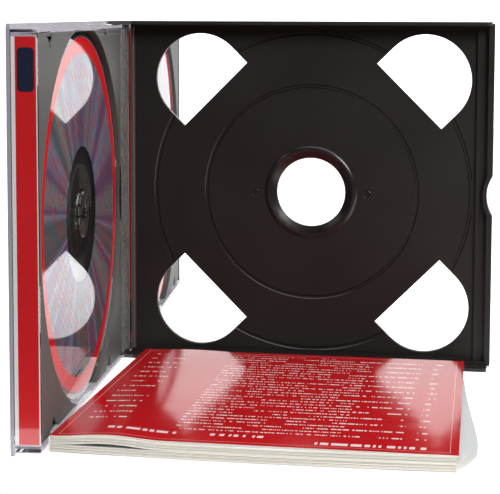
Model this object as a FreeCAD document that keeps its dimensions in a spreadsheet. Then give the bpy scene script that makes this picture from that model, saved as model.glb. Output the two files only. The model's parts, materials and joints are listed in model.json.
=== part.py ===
import FreeCAD, Part
import math
import os
import Sketcher

# A double disc box standing open: a black centre frame with a clear leaf hinged on each side of it,
# each leaf with its card, tray and disc, and the booklet lying on the table in front.
# Millimetres. The origin is on the table, under the axis that both discs share when the box is shut.
# X runs from the hinge edge to the free edge, Y from the front leaf to the rear one, Z up.

# Driving sizes: alias, value, what it is
SIZES = [
    # disc
    ("disc_r", 60.0, "disc"),
    ("disc_hole_r", 7.5, "hole"),
    ("disc_thick", 1.2, "disc"),
    ("disc_edge", 0.2, "bevel of the rim"),
    # box
    ("disc_gap", 0.1, "disc to the side walls of its shell"),
    ("hinge_margin", 16.0, "disc to the hinge edge"),
    ("free_margin", 6.0, "disc to the free edge"),
    ("leaf_depth", 9.0, "one leaf, outer face to inner edge"),
    ("mid_gap", 3.0, "mid-plane to the inner edge of a shut leaf"),
    ("pivot_from_hinge", 4.36, "pin axis from the hinge edge"),
    ("pivot_from_mid", 6.8, "pin axis from the mid-plane"),
    ("swing_gap", 0.21, "corners of a swinging leaf to the frame"),
    ("front_angle", 86.32, "front leaf, degrees open"),
    ("rear_angle", 95.5, "rear leaf, degrees open"),
    # centre frame
    ("web_half", 0.6, "half thickness of the thin web"),
    ("step_half", 0.75, "half thickness of the strip next to the plate"),
    ("plate_half", 0.9, "half thickness of the plate"),
    ("bead_half", 1.8, "half depth of the bead beside the channel"),
    ("rail_half", 2.2, "half depth of the hinge rail"),
    ("rim_half", 2.8, "half depth of the rim wall and the root ribs"),
    ("flange_thick", 1.25, "top and bottom flange"),
    ("flange_end", 1.0, "flange short of the free edge"),
    ("flange_corner", 1.5, "rounding of the flange corners"),
    ("ear_gap", 0.5, "hinge ear to the shell's ledge"),
    ("ear_length", 6.6, "hinge ear from its pin to the flange"),
    ("rail_width", 1.6, "hinge rail"),
    ("rail_round", 0.7, "rounding of the rail"),
    ("step_width", 2.8, "each of the two strips between rail and plate"),
    ("root_rib", 0.95, "root rib under a flange"),
    ("gutter_high", 1.5, "gap between root rib and plate"),
    ("gutter_width", 1.4, "gap between plate and bead"),
    ("bead_width", 1.26, "bead beside the channel"),
    ("channel_width", 2.74, "channel between bead and rim"),
    ("rim_thick", 2.0, "rim wall at the free edge"),
    ("notch_high", 14.6, "finger notch along the rim"),
    ("notch_deep", 2.07, "finger notch into the rim"),
    ("notch_wall", 1.5, "rim kept behind the notch"),
    ("hole_r", 12.6, "hub hole"),
    ("funnel_width", 2.8, "slope from the hole up to the crest of the collar"),
    ("crest_width", 1.7, "round shoulder outside the crest"),
    ("crest_round", 1.9, "radius of that shoulder"),
    ("collar_half", 1.6, "half height of the collar"),
    ("collar_lip", 0.5, "half thickness left at the hole"),
    ("small_ring_r", 39.0, "middle of the small ring groove"),
    ("large_ring_in", 1.7, "middle of the large ring groove inside the disc's edge"),
    ("ring_width", 1.4, "ring groove at the face"),
    ("ring_deep", 0.35, "ring groove"),
    ("windows", 4, "windows round the hub"),
    ("window_r", 16.6, "half width and round end of a window"),
    ("window_neck", 8.25, "straight sides of a window"),
    ("window_margin", 0.76, "plate left outside a window"),
    ("dimple_r", 1.25, "dimple beside the collar"),
    ("dimple_out", 3.6, "middle of a dimple outside the collar"),
    ("dimple_drop", 0.45, "dimple under the axis"),
    ("dimple_deep", 0.35, "dimple"),
    ("pin_r", 1.5, "hinge pin"),
    ("pin_gap", 0.06, "radial clearance of a pin in its hole"),
    ("pin_over", 0.1, "pin past the inside of the shell wall"),
    # clear shell of a leaf
    ("shell_wall", 1.2, "end walls"),
    ("shell_floor", 1.2, "floor"),
    ("shell_side", 1.0, "side walls"),
    ("flange_gap", 0.15, "side wall to flange"),
    ("ledge_gap", 0.2, "shell ledge to the edge of a flange"),
    ("hinge_round", 2.5, "outer corner at the hinge"),
    ("ledge_corner", 1.0, "corners of the floor at the free edge"),
    # inlay card
    ("card_thick", 0.25, "inlay card"),
    ("card_short", 0.12, "folded ends stop short of the leaf's edge"),
    ("card_side_gap", 0.6, "card and tray to the side walls"),
    # disc tray
    ("tray_gap", 0.15, "tray to the card's folded ends"),
    ("tray_drop", 0.4, "deck behind the leaf's inner edge"),
    ("tray_wall", 1.0, "walls and deck of the tray"),
    ("well_gap", 1.3, "disc to the wall of its well"),
    ("well_deep", 3.4, "disc well"),
    ("well_flat", 0.05, "least flat where the well meets the tray's long edges"),
    ("band_width", 13.9, "textured band at the hinge side"),
    ("band_rise", 0.2, "band over the deck"),
    ("lip_width", 1.4, "step along the long edges of the deck"),
    ("lip_drop", 0.3, "that step"),
    ("seat_from_hole", 1.1, "raised seat from the edge of the disc hole"),
    ("seat_width", 7.9, "raised seat of the disc"),
    ("seat_high", 0.8, "seat over the well floor"),
    ("hub_gap", 0.2, "hub skirt inside the disc hole"),
    ("hub_wall", 1.0, "wall of the skirt and of the teeth"),
    ("hub_eye_r", 2.6, "eye in the middle of the hub"),
    ("hub_high", 0.9, "hub over the disc"),
    ("hub_barb", 0.15, "barb over the edge of the disc hole"),
    ("hub_teeth", 12, "spring teeth"),
    ("slit_width", 0.7, "slit between two teeth"),
    ("slit_floor", 0.3, "skirt left under a slit"),
    ("wide_notch_x", 48.0, "tip of the wide notch from the disc axis"),
    ("wide_notch_back", 8.0, "its mouth on the hinge side of the tip"),
    ("wide_notch_front", 3.6, "its mouth on the free side"),
    ("slim_notch_x", -37.0, "tip of the slim notch from the disc axis"),
    ("slim_notch_back", 3.7, "its mouth on the hinge side of the tip"),
    ("slim_notch_front", 4.4, "its mouth on the free side"),
    ("notch_tip_r", 1.2, "round tip of both notches"),
    ("notch_long", 4.6, "both notches in from the tray's edge"),
    ("notch_deeper", 0.3, "both notches past the deck"),
    ("tab_length", 6.0, "snap tab along the tray"),
    ("tab_high", 0.4, "snap tab out of the tray's side"),
    ("tab_thick", 1.0, "snap tab"),
    ("tab_down", 1.6, "snap tab behind the deck"),
    ("catch_thick", 0.8, "catch on the shell over each tab"),
    ("catch_gap", 0.1, "catch to tab and to the tray's side"),
    # booklet
    ("book_gap", 0.74, "fold to the inner edge of the front leaf"),
    ("book_front", 16.3, "far edge in front of the mid-plane"),
    ("book_width", 119.0, "fold to the free edges"),
    ("book_length", 121.0, "along the fold"),
    ("book_skew", 3.0, "free edges lean in towards the far end"),
    ("book_thick", 5.0, "over both covers"),
    ("cover_thick", 0.25, "cover sheet"),
    ("fold_r", 0.9, "outside of the fold"),
    ("page_gap", 0.05, "pages to the fold"),
    ("page_short", 0.6, "pages short of the cover's edges"),
    ("page_bow", 2.2, "near edges of the pages bow out"),
    ("fan_levels", 3, "steps that the fanned pages are drawn in"),
    ("fan_out", 4.6, "lowest pages past the cover's free edge"),
    ("fan_share", 0.8, "where along the fold the fan is widest"),
    ("fan_round", 40.0, "bent corner of the fanned pages"),
    ("staple_inset", 32.0, "staple middle from the ends of the fold"),
    ("staple_crown", 12.0, "crown of a staple"),
    ("staple_wire", 0.5, "wire of a staple"),
    ("staple_reach", 2.0, "legs into the pages"),
    ("staple_gap", 0.05, "legs in their slots"),
]

XY, XZ, YZ = "XY_Plane", "XZ_Plane", "YZ_Plane"
ORIGIN_POINT = (-1, 1)
ACROSS_AXIS, UP_AXIS = -1, -2

doc = FreeCAD.newDocument("disc_box")
sheet = doc.addObject("Spreadsheet::Sheet", "Size")
for row, (alias, value, note) in enumerate(SIZES, start=1):
    sheet.set("A%d" % row, alias)
    sheet.set("B%d" % row, str(value))
    sheet.set("C%d" % row, note)
    sheet.setAlias("B%d" % row, alias)
doc.recompute()


def size(text):
    """The value of an expression over the sheet."""
    return float(sheet.evalExpression(text))


def plus(*texts):
    return "(" + " + ".join(texts) + ")"


def less(*texts):
    return "(" + " - ".join(texts) + ")"


def minus(text):
    return "(-1 * %s)" % text


def times(*texts):
    return "(" + " * ".join(texts) + ")"


# Places and levels that several pieces share, as expressions over the sheet.
# Depths are measured from the mid-plane into a shut leaf.
HALF = plus("Size.disc_r", "Size.disc_gap", "Size.shell_side", "Size.flange_gap", "Size.flange_thick")
HINGE = less("0", "Size.disc_r", "Size.hinge_margin")
FREE = plus("Size.disc_r", "Size.free_margin")
FLANGE_FACE = less(HALF, "Size.flange_thick")
SHELL_TOP = less(FLANGE_FACE, "Size.flange_gap")
SHELL_INSIDE = less(SHELL_TOP, "Size.shell_side")
TRAY_TOP = less(SHELL_INSIDE, "Size.card_side_gap")
PIVOT_X = plus(HINGE, "Size.pivot_from_hinge")
LEAF_OUTSIDE = plus("Size.mid_gap", "Size.leaf_depth")
FLOOR_INSIDE = less(LEAF_OUTSIDE, "Size.shell_floor")
CARD_FACE = less(FLOOR_INSIDE, "Size.card_thick")
DECK = plus("Size.mid_gap", "Size.tray_drop")
WELL_FLOOR = plus(DECK, "Size.well_deep")
SEAT = less(WELL_FLOOR, "Size.seat_high")
DISC_FACE = less(SEAT, "Size.disc_thick")
TAB_FACE = plus(DECK, "Size.tab_down")
FLANGE_HALF = less(FLOOR_INSIDE, "Size.ledge_gap")
EAR_R = less(FLOOR_INSIDE, "Size.pivot_from_mid", "Size.ear_gap")
CARD_HINGE = plus(HINGE, "Size.shell_wall")
CARD_FREE = less(FREE, "Size.shell_wall")
TRAY_HINGE = plus(CARD_HINGE, "Size.card_thick", "Size.tray_gap")
TRAY_FREE = less(CARD_FREE, "Size.card_thick", "Size.tray_gap")
WELL_R = plus("Size.disc_r", "Size.well_gap")
CREST_R = plus("Size.hole_r", "Size.funnel_width")
COLLAR_R = plus(CREST_R, "Size.crest_width")
PIN_REACH = plus("Size.flange_gap", "Size.shell_side", "Size.pin_over")
NOTCHES = ("wide_notch", "slim_notch")

# The circle round a pin that a swinging leaf keeps inside, by its inner and its rounded outer corner
INNER_SWEEP = "sqrt(Size.pivot_from_hinge ^ 2 + (Size.pivot_from_mid - Size.mid_gap) ^ 2)"
OUTER_SWEEP = "(sqrt((Size.pivot_from_hinge - Size.hinge_round) ^ 2 + (%s) ^ 2) + Size.hinge_round)" % (
    less(LEAF_OUTSIDE, "Size.hinge_round", "Size.pivot_from_mid"))
SWEEP = "max(%s; %s)" % (INNER_SWEEP, OUTER_SWEEP)


def past_swing(half):
    """The first X at which something this thick clears both swinging leaves."""
    across = "sqrt((%s + Size.swing_gap) ^ 2 - (Size.pivot_from_mid - %s) ^ 2)" % (SWEEP, half)
    return plus(PIVOT_X, across)


RAIL_LEFT = past_swing("Size.rail_half")
RAIL_RIGHT = plus(RAIL_LEFT, "Size.rail_width")


# Sketches, with every corner held by an expression

def new_body(label):
    body = doc.addObject("PartDesign::Body", label)
    body.Label = label
    return body


def origin_item(body, role):
    return next(item for item in body.Origin.OriginFeatures if item.Role == role)


def new_sketch(body, plane, offset="0", turn=0):
    """A sketch parallel to one of the body's own planes, moved along its normal and turned in it."""
    sketch = body.newObject("Sketcher::SketchObject", body.Label + "_sketch")
    sketch.AttachmentSupport = [(origin_item(body, plane), "")]
    sketch.MapMode = "FlatFace"
    turned = FreeCAD.Rotation(FreeCAD.Vector(0, 0, 1), turn)
    sketch.AttachmentOffset = FreeCAD.Placement(FreeCAD.Vector(), turned)
    if offset != "0":
        sketch.setExpression("AttachmentOffset.Base.z", offset)
    return sketch


def hold(sketch, geometry, end, across, up):
    """Fix a point of the sketch at a place given by two expressions."""
    for kind, text, axis in (("DistanceX", across, UP_AXIS), ("DistanceY", up, ACROSS_AXIS)):
        if text == "0":
            sketch.addConstraint(Sketcher.Constraint("PointOnObject", geometry, end, axis))
        else:
            rule = Sketcher.Constraint(kind, *ORIGIN_POINT, geometry, end, size(text))
            number = sketch.addConstraint(rule)
            sketch.setExpression("Constraints[%d]" % number, text)


def hold_radius(sketch, geometry, radius):
    number = sketch.addConstraint(Sketcher.Constraint("Radius", geometry, size(radius)))
    sketch.setExpression("Constraints[%d]" % number, radius)


def arc_between(start, finish, radius, turn):
    """The short arc from start to finish, anticlockwise if turn is positive."""
    chord = finish - start
    side = FreeCAD.Vector(-chord.y, chord.x, 0).normalize() * turn
    rise = math.sqrt(max(radius ** 2 - chord.Length ** 2 / 4, 0))
    centre = (start + finish) / 2 + side * rise
    return Part.Arc(start, centre - side * radius, finish)


def outline(sketch, corners):
    """A closed loop. A corner is (across, up), or (across, up, radius, turn) if an arc leads to it."""
    places = [FreeCAD.Vector(size(corner[0]), size(corner[1]), 0) for corner in corners]
    first = sketch.GeometryCount
    count = len(corners)
    ends = []
    for index in range(count):
        target = corners[(index + 1) % count]
        start, finish = places[index], places[(index + 1) % count]
        if len(target) == 2:
            sketch.addGeometry(Part.LineSegment(start, finish))
            ends.append((1, 2))
        else:
            sketch.addGeometry(arc_between(start, finish, size(target[2]), target[3]))
            ends.append((1, 2) if target[3] > 0 else (2, 1))
    for index in range(count):
        after = (index + 1) % count
        sketch.addConstraint(Sketcher.Constraint(
            "Coincident", first + index, ends[index][1], first + after, ends[after][0]))
    for index, corner in enumerate(corners):
        hold(sketch, first + index, ends[index][0], corner[0], corner[1])
        target = corners[(index + 1) % count]
        if len(target) == 4:
            hold_radius(sketch, first + index, target[2])


def rectangle(sketch, left, right, low, high):
    outline(sketch, [(left, low), (right, low), (right, high), (left, high)])


def circle(sketch, across, up, radius):
    centre = FreeCAD.Vector(size(across), size(up), 0)
    number = sketch.addGeometry(Part.Circle(centre, FreeCAD.Vector(0, 0, 1), size(radius)))
    if across == up == "0":
        sketch.addConstraint(Sketcher.Constraint("Coincident", number, 3, *ORIGIN_POINT))
    else:
        hold(sketch, number, 3, across, up)
    hold_radius(sketch, number, radius)


# Features

def checked(body, feature, grows):
    """Recompute, and stop if the feature failed or didn't move the volume the right way."""
    doc.recompute()
    if not feature.isValid():
        raise RuntimeError("%s: %s failed" % (body.Label, feature.Name))
    before = feature.BaseFeature.Shape.Volume if feature.BaseFeature else 0
    change = feature.Shape.Volume - before
    if change * grows <= 0:
        raise RuntimeError("%s: %s changed the volume by %.4f" % (body.Label, feature.Name, change))
    return feature


def pad(body, sketch, length, both=False):
    """Material along the sketch's normal, or half to each side of it with both."""
    feature = body.newObject("PartDesign::Pad", body.Label + "_pad")
    feature.Profile = sketch
    feature.SideType = "Symmetric" if both else "One side"
    feature.setExpression("Length", length)
    return checked(body, feature, 1)


def pocket(body, sketch, length=None, along=False):
    """A cut against the sketch's normal, or along it. With no length it goes right through."""
    feature = body.newObject("PartDesign::Pocket", body.Label + "_pocket")
    feature.Profile = sketch
    feature.Reversed = along
    if length is None:
        feature.Type = "ThroughAll"
        feature.SideType = "Symmetric"
    else:
        feature.setExpression("Length", length)
    return checked(body, feature, -1)


def turned_about(body, sketch, kind):
    """A revolution or a groove about the sketch's own upright axis."""
    feature = body.newObject("PartDesign::" + kind, body.Label + "_turned")
    feature.Profile = sketch
    feature.ReferenceAxis = (sketch, ["V_Axis"])
    feature.Angle = 360
    return checked(body, feature, 1 if kind == "Revolution" else -1)


def mirrored(body, features, plane, grows):
    feature = body.newObject("PartDesign::Mirrored", body.Label + "_mirrored")
    feature.Originals = features
    feature.MirrorPlane = (origin_item(body, plane), [""])
    body.Tip = feature
    return checked(body, feature, grows)


def round_pattern(body, features, count, grows):
    """Copies of features round the disc axis."""
    feature = body.newObject("PartDesign::PolarPattern", body.Label + "_pattern")
    feature.Originals = features
    feature.Axis = (origin_item(body, "Y_Axis"), [""])
    feature.Angle = 360
    feature.setExpression("Occurrences", count)
    body.Tip = feature
    return checked(body, feature, grows)


def rounded(body, radius, chosen):
    """A fillet on the edges of the tip that the test picks."""
    tip = body.Tip
    names = ["Edge%d" % (n + 1) for n, edge in enumerate(tip.Shape.Edges) if chosen(edge)]
    feature = body.newObject("PartDesign::Fillet", body.Label + "_round")
    feature.Base = (tip, names)
    feature.setExpression("Radius", radius)
    return checked(body, feature, -1)


def runs_along(edge, axis, places):
    """Whether a straight edge along an axis stands at one of the places in the other two."""
    if len(edge.Vertexes) != 2 or edge.Curve.TypeId != "Part::GeomLine":
        return False
    start, finish = (list(vertex.Point) for vertex in edge.Vertexes)
    del start[axis], finish[axis]
    if math.dist(start, finish) > 1e-6:
        return False
    return any(math.dist(start, place) < 1e-4 for place in places)


# Placements: pieces of the box are drawn with the disc axis at their origin

def lifted():
    return FreeCAD.Placement(FreeCAD.Vector(0, 0, size(HALF)), FreeCAD.Rotation())


def swung(angle, pivot_y):
    """A turn about one pair of hinge pins."""
    upright = FreeCAD.Rotation(FreeCAD.Vector(0, 0, 1), angle)
    return FreeCAD.Placement(FreeCAD.Vector(), upright, FreeCAD.Vector(size(PIVOT_X), pivot_y, 0))


def front_place():
    return swung(-size("Size.front_angle"), -size("Size.pivot_from_mid")).multiply(lifted())


def rear_place():
    """The same mouldings turned over for the other side."""
    over = FreeCAD.Placement(FreeCAD.Vector(), FreeCAD.Rotation(FreeCAD.Vector(1, 0, 0), 180))
    swing = swung(size("Size.rear_angle"), size("Size.pivot_from_mid"))
    return swing.multiply(lifted()).multiply(over)


def book_place():
    """The fold stands just clear of the front leaf's inner edge, at the booklet's near end."""
    angle = math.radians(size("Size.front_angle"))
    reach = size("Size.book_front + Size.book_length - Size.pivot_from_mid")
    offset = size("Size.pivot_from_mid - Size.mid_gap") + reach * math.cos(angle)
    leaf_x = size(PIVOT_X) + offset / math.sin(angle)
    corner = FreeCAD.Vector(leaf_x + size("Size.book_gap"), -size("Size.book_front"), 0)
    return FreeCAD.Placement(corner, FreeCAD.Rotation())


# Centre frame

def frame_strip(body, left, right, half):
    """An upright strip from flange to flange."""
    sketch = new_sketch(body, XZ)
    tall = plus(FLANGE_FACE, "Size.flange_thick / 2")
    rectangle(sketch, left, right, minus(tall), tall)
    return pad(body, sketch, times("2", half), both=True)


def frame_rail(body):
    frame_strip(body, RAIL_LEFT, RAIL_RIGHT, "Size.rail_half")
    half = size("Size.rail_half")
    places = [(size(x), y) for x in (RAIL_LEFT, RAIL_RIGHT) for y in (half, -half)]
    rounded(body, "Size.rail_round", lambda edge: runs_along(edge, 2, places))


def frame_rim(body):
    """The rim wall at the free edge, which bends round a finger notch."""
    frame_strip(body, less(FREE, "Size.rim_thick"), FREE, "Size.rim_half")
    radius = "((Size.notch_high ^ 2 / 4 + Size.notch_deep ^ 2) / (2 * Size.notch_deep))"
    centre = less(plus(FREE, radius), "Size.notch_deep")
    outer = plus(radius, "Size.notch_wall")
    chord = less(FREE, "Size.rim_thick / 2")
    half_chord = "sqrt(%s ^ 2 - %s ^ 2)" % (outer, less(centre, chord))
    bend = new_sketch(body, XZ)
    outline(bend, [
        (chord, minus(half_chord), outer, 1),
        (chord, half_chord),
        (less(centre, outer), "0", outer, 1),
    ])
    pad(body, bend, "2 * Size.rim_half", both=True)
    bite = new_sketch(body, XZ)
    circle(bite, centre, "0", radius)
    pocket(body, bite)


def frame_flanges(body):
    """One flange with its two hinge ears, its root rib and its pins, then the same at the other end."""
    right = less(FREE, "Size.flange_end")
    corner = "Size.flange_corner"
    root = plus(PIVOT_X, "Size.ear_length")
    outside = plus("Size.pivot_from_mid", EAR_R)
    inside = less("Size.pivot_from_mid", EAR_R)
    tip = less(PIVOT_X, EAR_R)
    flat = new_sketch(body, XY, FLANGE_FACE)
    outline(flat, [
        (less(right, corner), FLANGE_HALF, corner, 1),
        (root, FLANGE_HALF),
        (root, outside),
        (PIVOT_X, outside),
        (tip, "Size.pivot_from_mid", EAR_R, 1),
        (PIVOT_X, inside, EAR_R, 1),
        (RAIL_LEFT, inside),
        (RAIL_LEFT, minus(inside)),
        (PIVOT_X, minus(inside)),
        (tip, "-Size.pivot_from_mid", EAR_R, 1),
        (PIVOT_X, minus(outside), EAR_R, 1),
        (root, minus(outside)),
        (root, minus(FLANGE_HALF)),
        (less(right, corner), minus(FLANGE_HALF)),
        (right, less(corner, FLANGE_HALF), corner, 1),
        (right, less(FLANGE_HALF, corner)),
    ])
    flange = pad(body, flat, "Size.flange_thick")

    overlap = "Size.flange_thick / 2"
    under = new_sketch(body, XZ)
    rectangle(under, past_swing("Size.rim_half"), right,
              less(FLANGE_FACE, "Size.root_rib"), plus(FLANGE_FACE, overlap))
    rib = pad(body, under, "2 * Size.rim_half", both=True)

    ends = new_sketch(body, XY, less(FLANGE_FACE, PIN_REACH))
    for side in ("Size.pivot_from_mid", "-Size.pivot_from_mid"):
        circle(ends, PIVOT_X, side, "Size.pin_r")
    pins = pad(body, ends, plus(PIN_REACH, overlap))
    mirrored(body, [flange, rib, pins], XY, 1)


def frame_collar(body):
    """The hub hole in its collar: a funnel up to a crest with a round shoulder outside it."""
    hole = new_sketch(body, XZ)
    circle(hole, "0", "0", CREST_R)
    pocket(body, hole)
    section = new_sketch(body, XY)
    outline(section, [
        ("Size.hole_r", "-Size.collar_lip"),
        (CREST_R, "-Size.collar_half"),
        (COLLAR_R, "-Size.plate_half", "Size.crest_round", 1),
        (COLLAR_R, "Size.plate_half"),
        (CREST_R, "Size.collar_half", "Size.crest_round", 1),
        ("Size.hole_r", "Size.collar_lip"),
    ])
    turned_about(body, section, "Revolution")


def frame_rings(body):
    """Two ring grooves in each face."""
    section = new_sketch(body, XY)
    for middle in ("Size.small_ring_r", "(Size.disc_r - Size.large_ring_in)"):
        for side in ("1", "-1"):
            face = times(side, "Size.plate_half")
            floor = times(side, less("Size.plate_half", "Size.ring_deep"))
            outline(section, [
                (less(middle, "Size.ring_width / 2"), face),
                (plus(middle, "Size.ring_width / 2"), face),
                (plus(middle, "Size.ring_width / 4"), floor),
                (less(middle, "Size.ring_width / 4"), floor),
            ])
    turned_about(body, section, "Groove")


def frame_windows(body, plate_top):
    """Round-ended windows on the diagonals, as near the plate's corners as its edge allows."""
    centre = times("sqrt(2)", less(plate_top, "Size.window_margin", "Size.window_r"))
    edge = less(centre, "Size.window_neck")
    shape = new_sketch(body, XZ, turn=45)
    outline(shape, [
        (edge, "-Size.window_r"),
        (centre, "-Size.window_r"),
        (plus(centre, "Size.window_r"), "0", "Size.window_r", 1),
        (centre, "Size.window_r", "Size.window_r", 1),
        (edge, "Size.window_r"),
    ])
    window = pocket(body, shape)
    round_pattern(body, [window], "Size.windows", -1)


def frame_dimples(body):
    marks = new_sketch(body, XZ, "Size.plate_half")
    out = plus(COLLAR_R, "Size.dimple_out")
    for across in (out, minus(out)):
        circle(marks, across, "-Size.dimple_drop", "Size.dimple_r")
    front = pocket(body, marks, "Size.dimple_deep")
    mirrored(body, [front], XZ, -1)


def centre_frame():
    body = new_body("centre_frame")
    plate_left = plus(RAIL_RIGHT, "2 * Size.step_width")
    bead_right = less(FREE, "Size.rim_thick", "Size.channel_width")
    bead_left = less(bead_right, "Size.bead_width")
    plate_right = less(bead_left, "Size.gutter_width")
    plate_top = less(FLANGE_FACE, "Size.root_rib", "Size.gutter_high")
    plate = new_sketch(body, XZ)
    rectangle(plate, plate_left, plate_right, minus(plate_top), plate_top)
    pad(body, plate, "2 * Size.plate_half", both=True)
    frame_strip(body, plus(RAIL_LEFT, "Size.rail_width / 2"), less(FREE, "Size.flange_end"), "Size.web_half")
    frame_strip(body, plus(RAIL_RIGHT, "Size.step_width"), plate_left, "Size.step_half")
    frame_rail(body)
    frame_strip(body, bead_left, bead_right, "Size.bead_half")
    frame_rim(body)
    frame_flanges(body)
    frame_collar(body)
    frame_rings(body)
    frame_windows(body, plate_top)
    frame_dimples(body)
    body.Placement = lifted()
    return body


# One leaf: shell, card, tray and disc, drawn shut in front of the frame

def along_edge(notch):
    """Both ends of the snap tab under a notch."""
    middle = "Size.%s_x" % notch
    return less(middle, "Size.tab_length / 2"), plus(middle, "Size.tab_length / 2")


def shell(label, place):
    """Floor, end walls and side walls, with a ledge that runs past the frame's flanges."""
    body = new_body(label)
    block = new_sketch(body, XZ, "Size.mid_gap")
    rectangle(block, HINGE, FREE, minus(SHELL_TOP), SHELL_TOP)
    pad(body, block, "Size.leaf_depth")
    outer = [(size(HINGE), -size(LEAF_OUTSIDE))]
    rounded(body, "Size.hinge_round", lambda edge: runs_along(edge, 2, outer))
    hollow = new_sketch(body, XZ, "Size.mid_gap")
    rectangle(hollow, CARD_HINGE, CARD_FREE, minus(SHELL_INSIDE), SHELL_INSIDE)
    pocket(body, hollow, less(FLOOR_INSIDE, "Size.mid_gap"), along=True)

    ledge = new_sketch(body, XZ, FLOOR_INSIDE)
    left = plus(HINGE, "Size.hinge_round")
    corner = "Size.ledge_corner"
    outline(ledge, [
        (left, minus(HALF)),
        (less(FREE, corner), minus(HALF)),
        (FREE, less(corner, HALF), corner, 1),
        (FREE, less(HALF, corner)),
        (less(FREE, corner), HALF, corner, 1),
        (left, HALF),
    ])
    pad(body, ledge, "Size.shell_floor")

    holes = new_sketch(body, XY)
    circle(holes, PIVOT_X, "-Size.pivot_from_mid", plus("Size.pin_r", "Size.pin_gap"))
    pocket(body, holes)

    catches = new_sketch(body, XY, plus(TRAY_TOP, "Size.catch_gap"))
    low = plus("Size.catch_gap", "Size.catch_thick")
    for notch in NOTCHES:
        left, right = along_edge(notch)
        rectangle(catches, left, right, less("Size.catch_gap", TAB_FACE), less(low, TAB_FACE))
    upper = pad(body, catches, less("Size.card_side_gap", "Size.catch_gap"))
    mirrored(body, [upper], XY, 1)
    body.Placement = place
    return body


def inlay_card(label, place):
    """A card under the tray, its two ends folded up along the end walls."""
    body = new_body(label)
    edge = minus(plus("Size.mid_gap", "Size.card_short"))
    section = new_sketch(body, XY)
    outline(section, [
        (CARD_HINGE, edge),
        (CARD_HINGE, minus(FLOOR_INSIDE)),
        (CARD_FREE, minus(FLOOR_INSIDE)),
        (CARD_FREE, edge),
        (less(CARD_FREE, "Size.card_thick"), edge),
        (less(CARD_FREE, "Size.card_thick"), minus(CARD_FACE)),
        (plus(CARD_HINGE, "Size.card_thick"), minus(CARD_FACE)),
        (plus(CARD_HINGE, "Size.card_thick"), edge),
    ])
    pad(body, section, times("2", TRAY_TOP), both=True)
    body.Placement = place
    return body


def tray_deck(body):
    """The rim wall, the deck and the raised band along the hinge side."""
    band_end = plus(TRAY_HINGE, "Size.band_width")
    walls = new_sketch(body, XZ, DECK)
    rectangle(walls, TRAY_HINGE, TRAY_FREE, minus(TRAY_TOP), TRAY_TOP)
    inner = less(TRAY_TOP, "Size.tray_wall")
    rectangle(walls, plus(TRAY_HINGE, "Size.tray_wall"), less(TRAY_FREE, "Size.tray_wall"),
              minus(inner), inner)
    pad(body, walls, less(CARD_FACE, DECK))
    deck = new_sketch(body, XZ, DECK)
    rectangle(deck, TRAY_HINGE, TRAY_FREE, minus(TRAY_TOP), TRAY_TOP)
    pad(body, deck, "Size.tray_wall")
    band = new_sketch(body, XZ, less(DECK, "Size.band_rise"))
    rectangle(band, TRAY_HINGE, band_end, minus(TRAY_TOP), TRAY_TOP)
    pad(body, band, plus("Size.band_rise", "Size.tray_wall / 2"))

    steps = new_sketch(body, XZ, DECK)
    rectangle(steps, band_end, TRAY_FREE, less(TRAY_TOP, "Size.lip_width"), TRAY_TOP)
    step = pocket(body, steps, "Size.lip_drop", along=True)
    mirrored(body, [step], XY, -1)


def tray_well(body):
    """The disc well, whose wall runs out at the tray's long edges, and the seat in its middle."""
    outer = plus(WELL_R, "Size.tray_wall")
    level = "min(%s; %s)" % (TRAY_TOP, less(outer, "Size.well_flat"))
    across = "sqrt(%s ^ 2 - %s ^ 2)" % (outer, level)
    bowl = new_sketch(body, XZ, DECK)
    outline(bowl, [
        (across, level, outer, 1),
        (minus(across), level),
        (minus(outer), "0", outer, 1),
        (minus(across), minus(level), outer, 1),
        (across, minus(level)),
        (outer, "0", outer, 1),
    ])
    pad(body, bowl, plus("Size.well_deep", "Size.tray_wall"))
    well = new_sketch(body, XZ, DECK)
    circle(well, "0", "0", WELL_R)
    pocket(body, well, "Size.well_deep", along=True)
    seat = new_sketch(body, XZ, SEAT)
    inner = plus("Size.disc_hole_r", "Size.seat_from_hole")
    circle(seat, "0", "0", inner)
    circle(seat, "0", "0", plus(inner, "Size.seat_width"))
    pad(body, seat, plus("Size.seat_high", "Size.tray_wall / 2"))


def tray_hub(body):
    """The toothed hub: a ring of spring teeth with a barb that holds the disc by its hole."""
    skirt = less("Size.disc_hole_r", "Size.hub_gap")
    barb = plus("Size.disc_hole_r", "Size.hub_barb")
    top = less(DISC_FACE, "Size.hub_high")
    foot = plus(WELL_FLOOR, "Size.tray_wall / 2")
    under = plus(top, "Size.hub_wall")
    section = new_sketch(body, XY)
    outline(section, [
        ("Size.hub_eye_r", minus(under)),
        (less(skirt, "Size.hub_wall"), minus(under)),
        (less(skirt, "Size.hub_wall"), minus(foot)),
        (skirt, minus(foot)),
        (skirt, minus(DISC_FACE)),
        (barb, minus(less(DISC_FACE, "Size.hub_high / 2"))),
        (less(skirt, "Size.hub_barb"), minus(top)),
        ("Size.hub_eye_r", minus(top)),
    ])
    turned_about(body, section, "Revolution")
    slit = new_sketch(body, XZ, top)
    rectangle(slit, "Size.hub_eye_r / 2", plus(barb, "Size.hub_gap"),
              "-Size.slit_width / 2", "Size.slit_width / 2")
    cut = pocket(body, slit, less(WELL_FLOOR, "Size.slit_floor", top), along=True)
    round_pattern(body, [cut], "Size.hub_teeth", -1)


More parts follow.
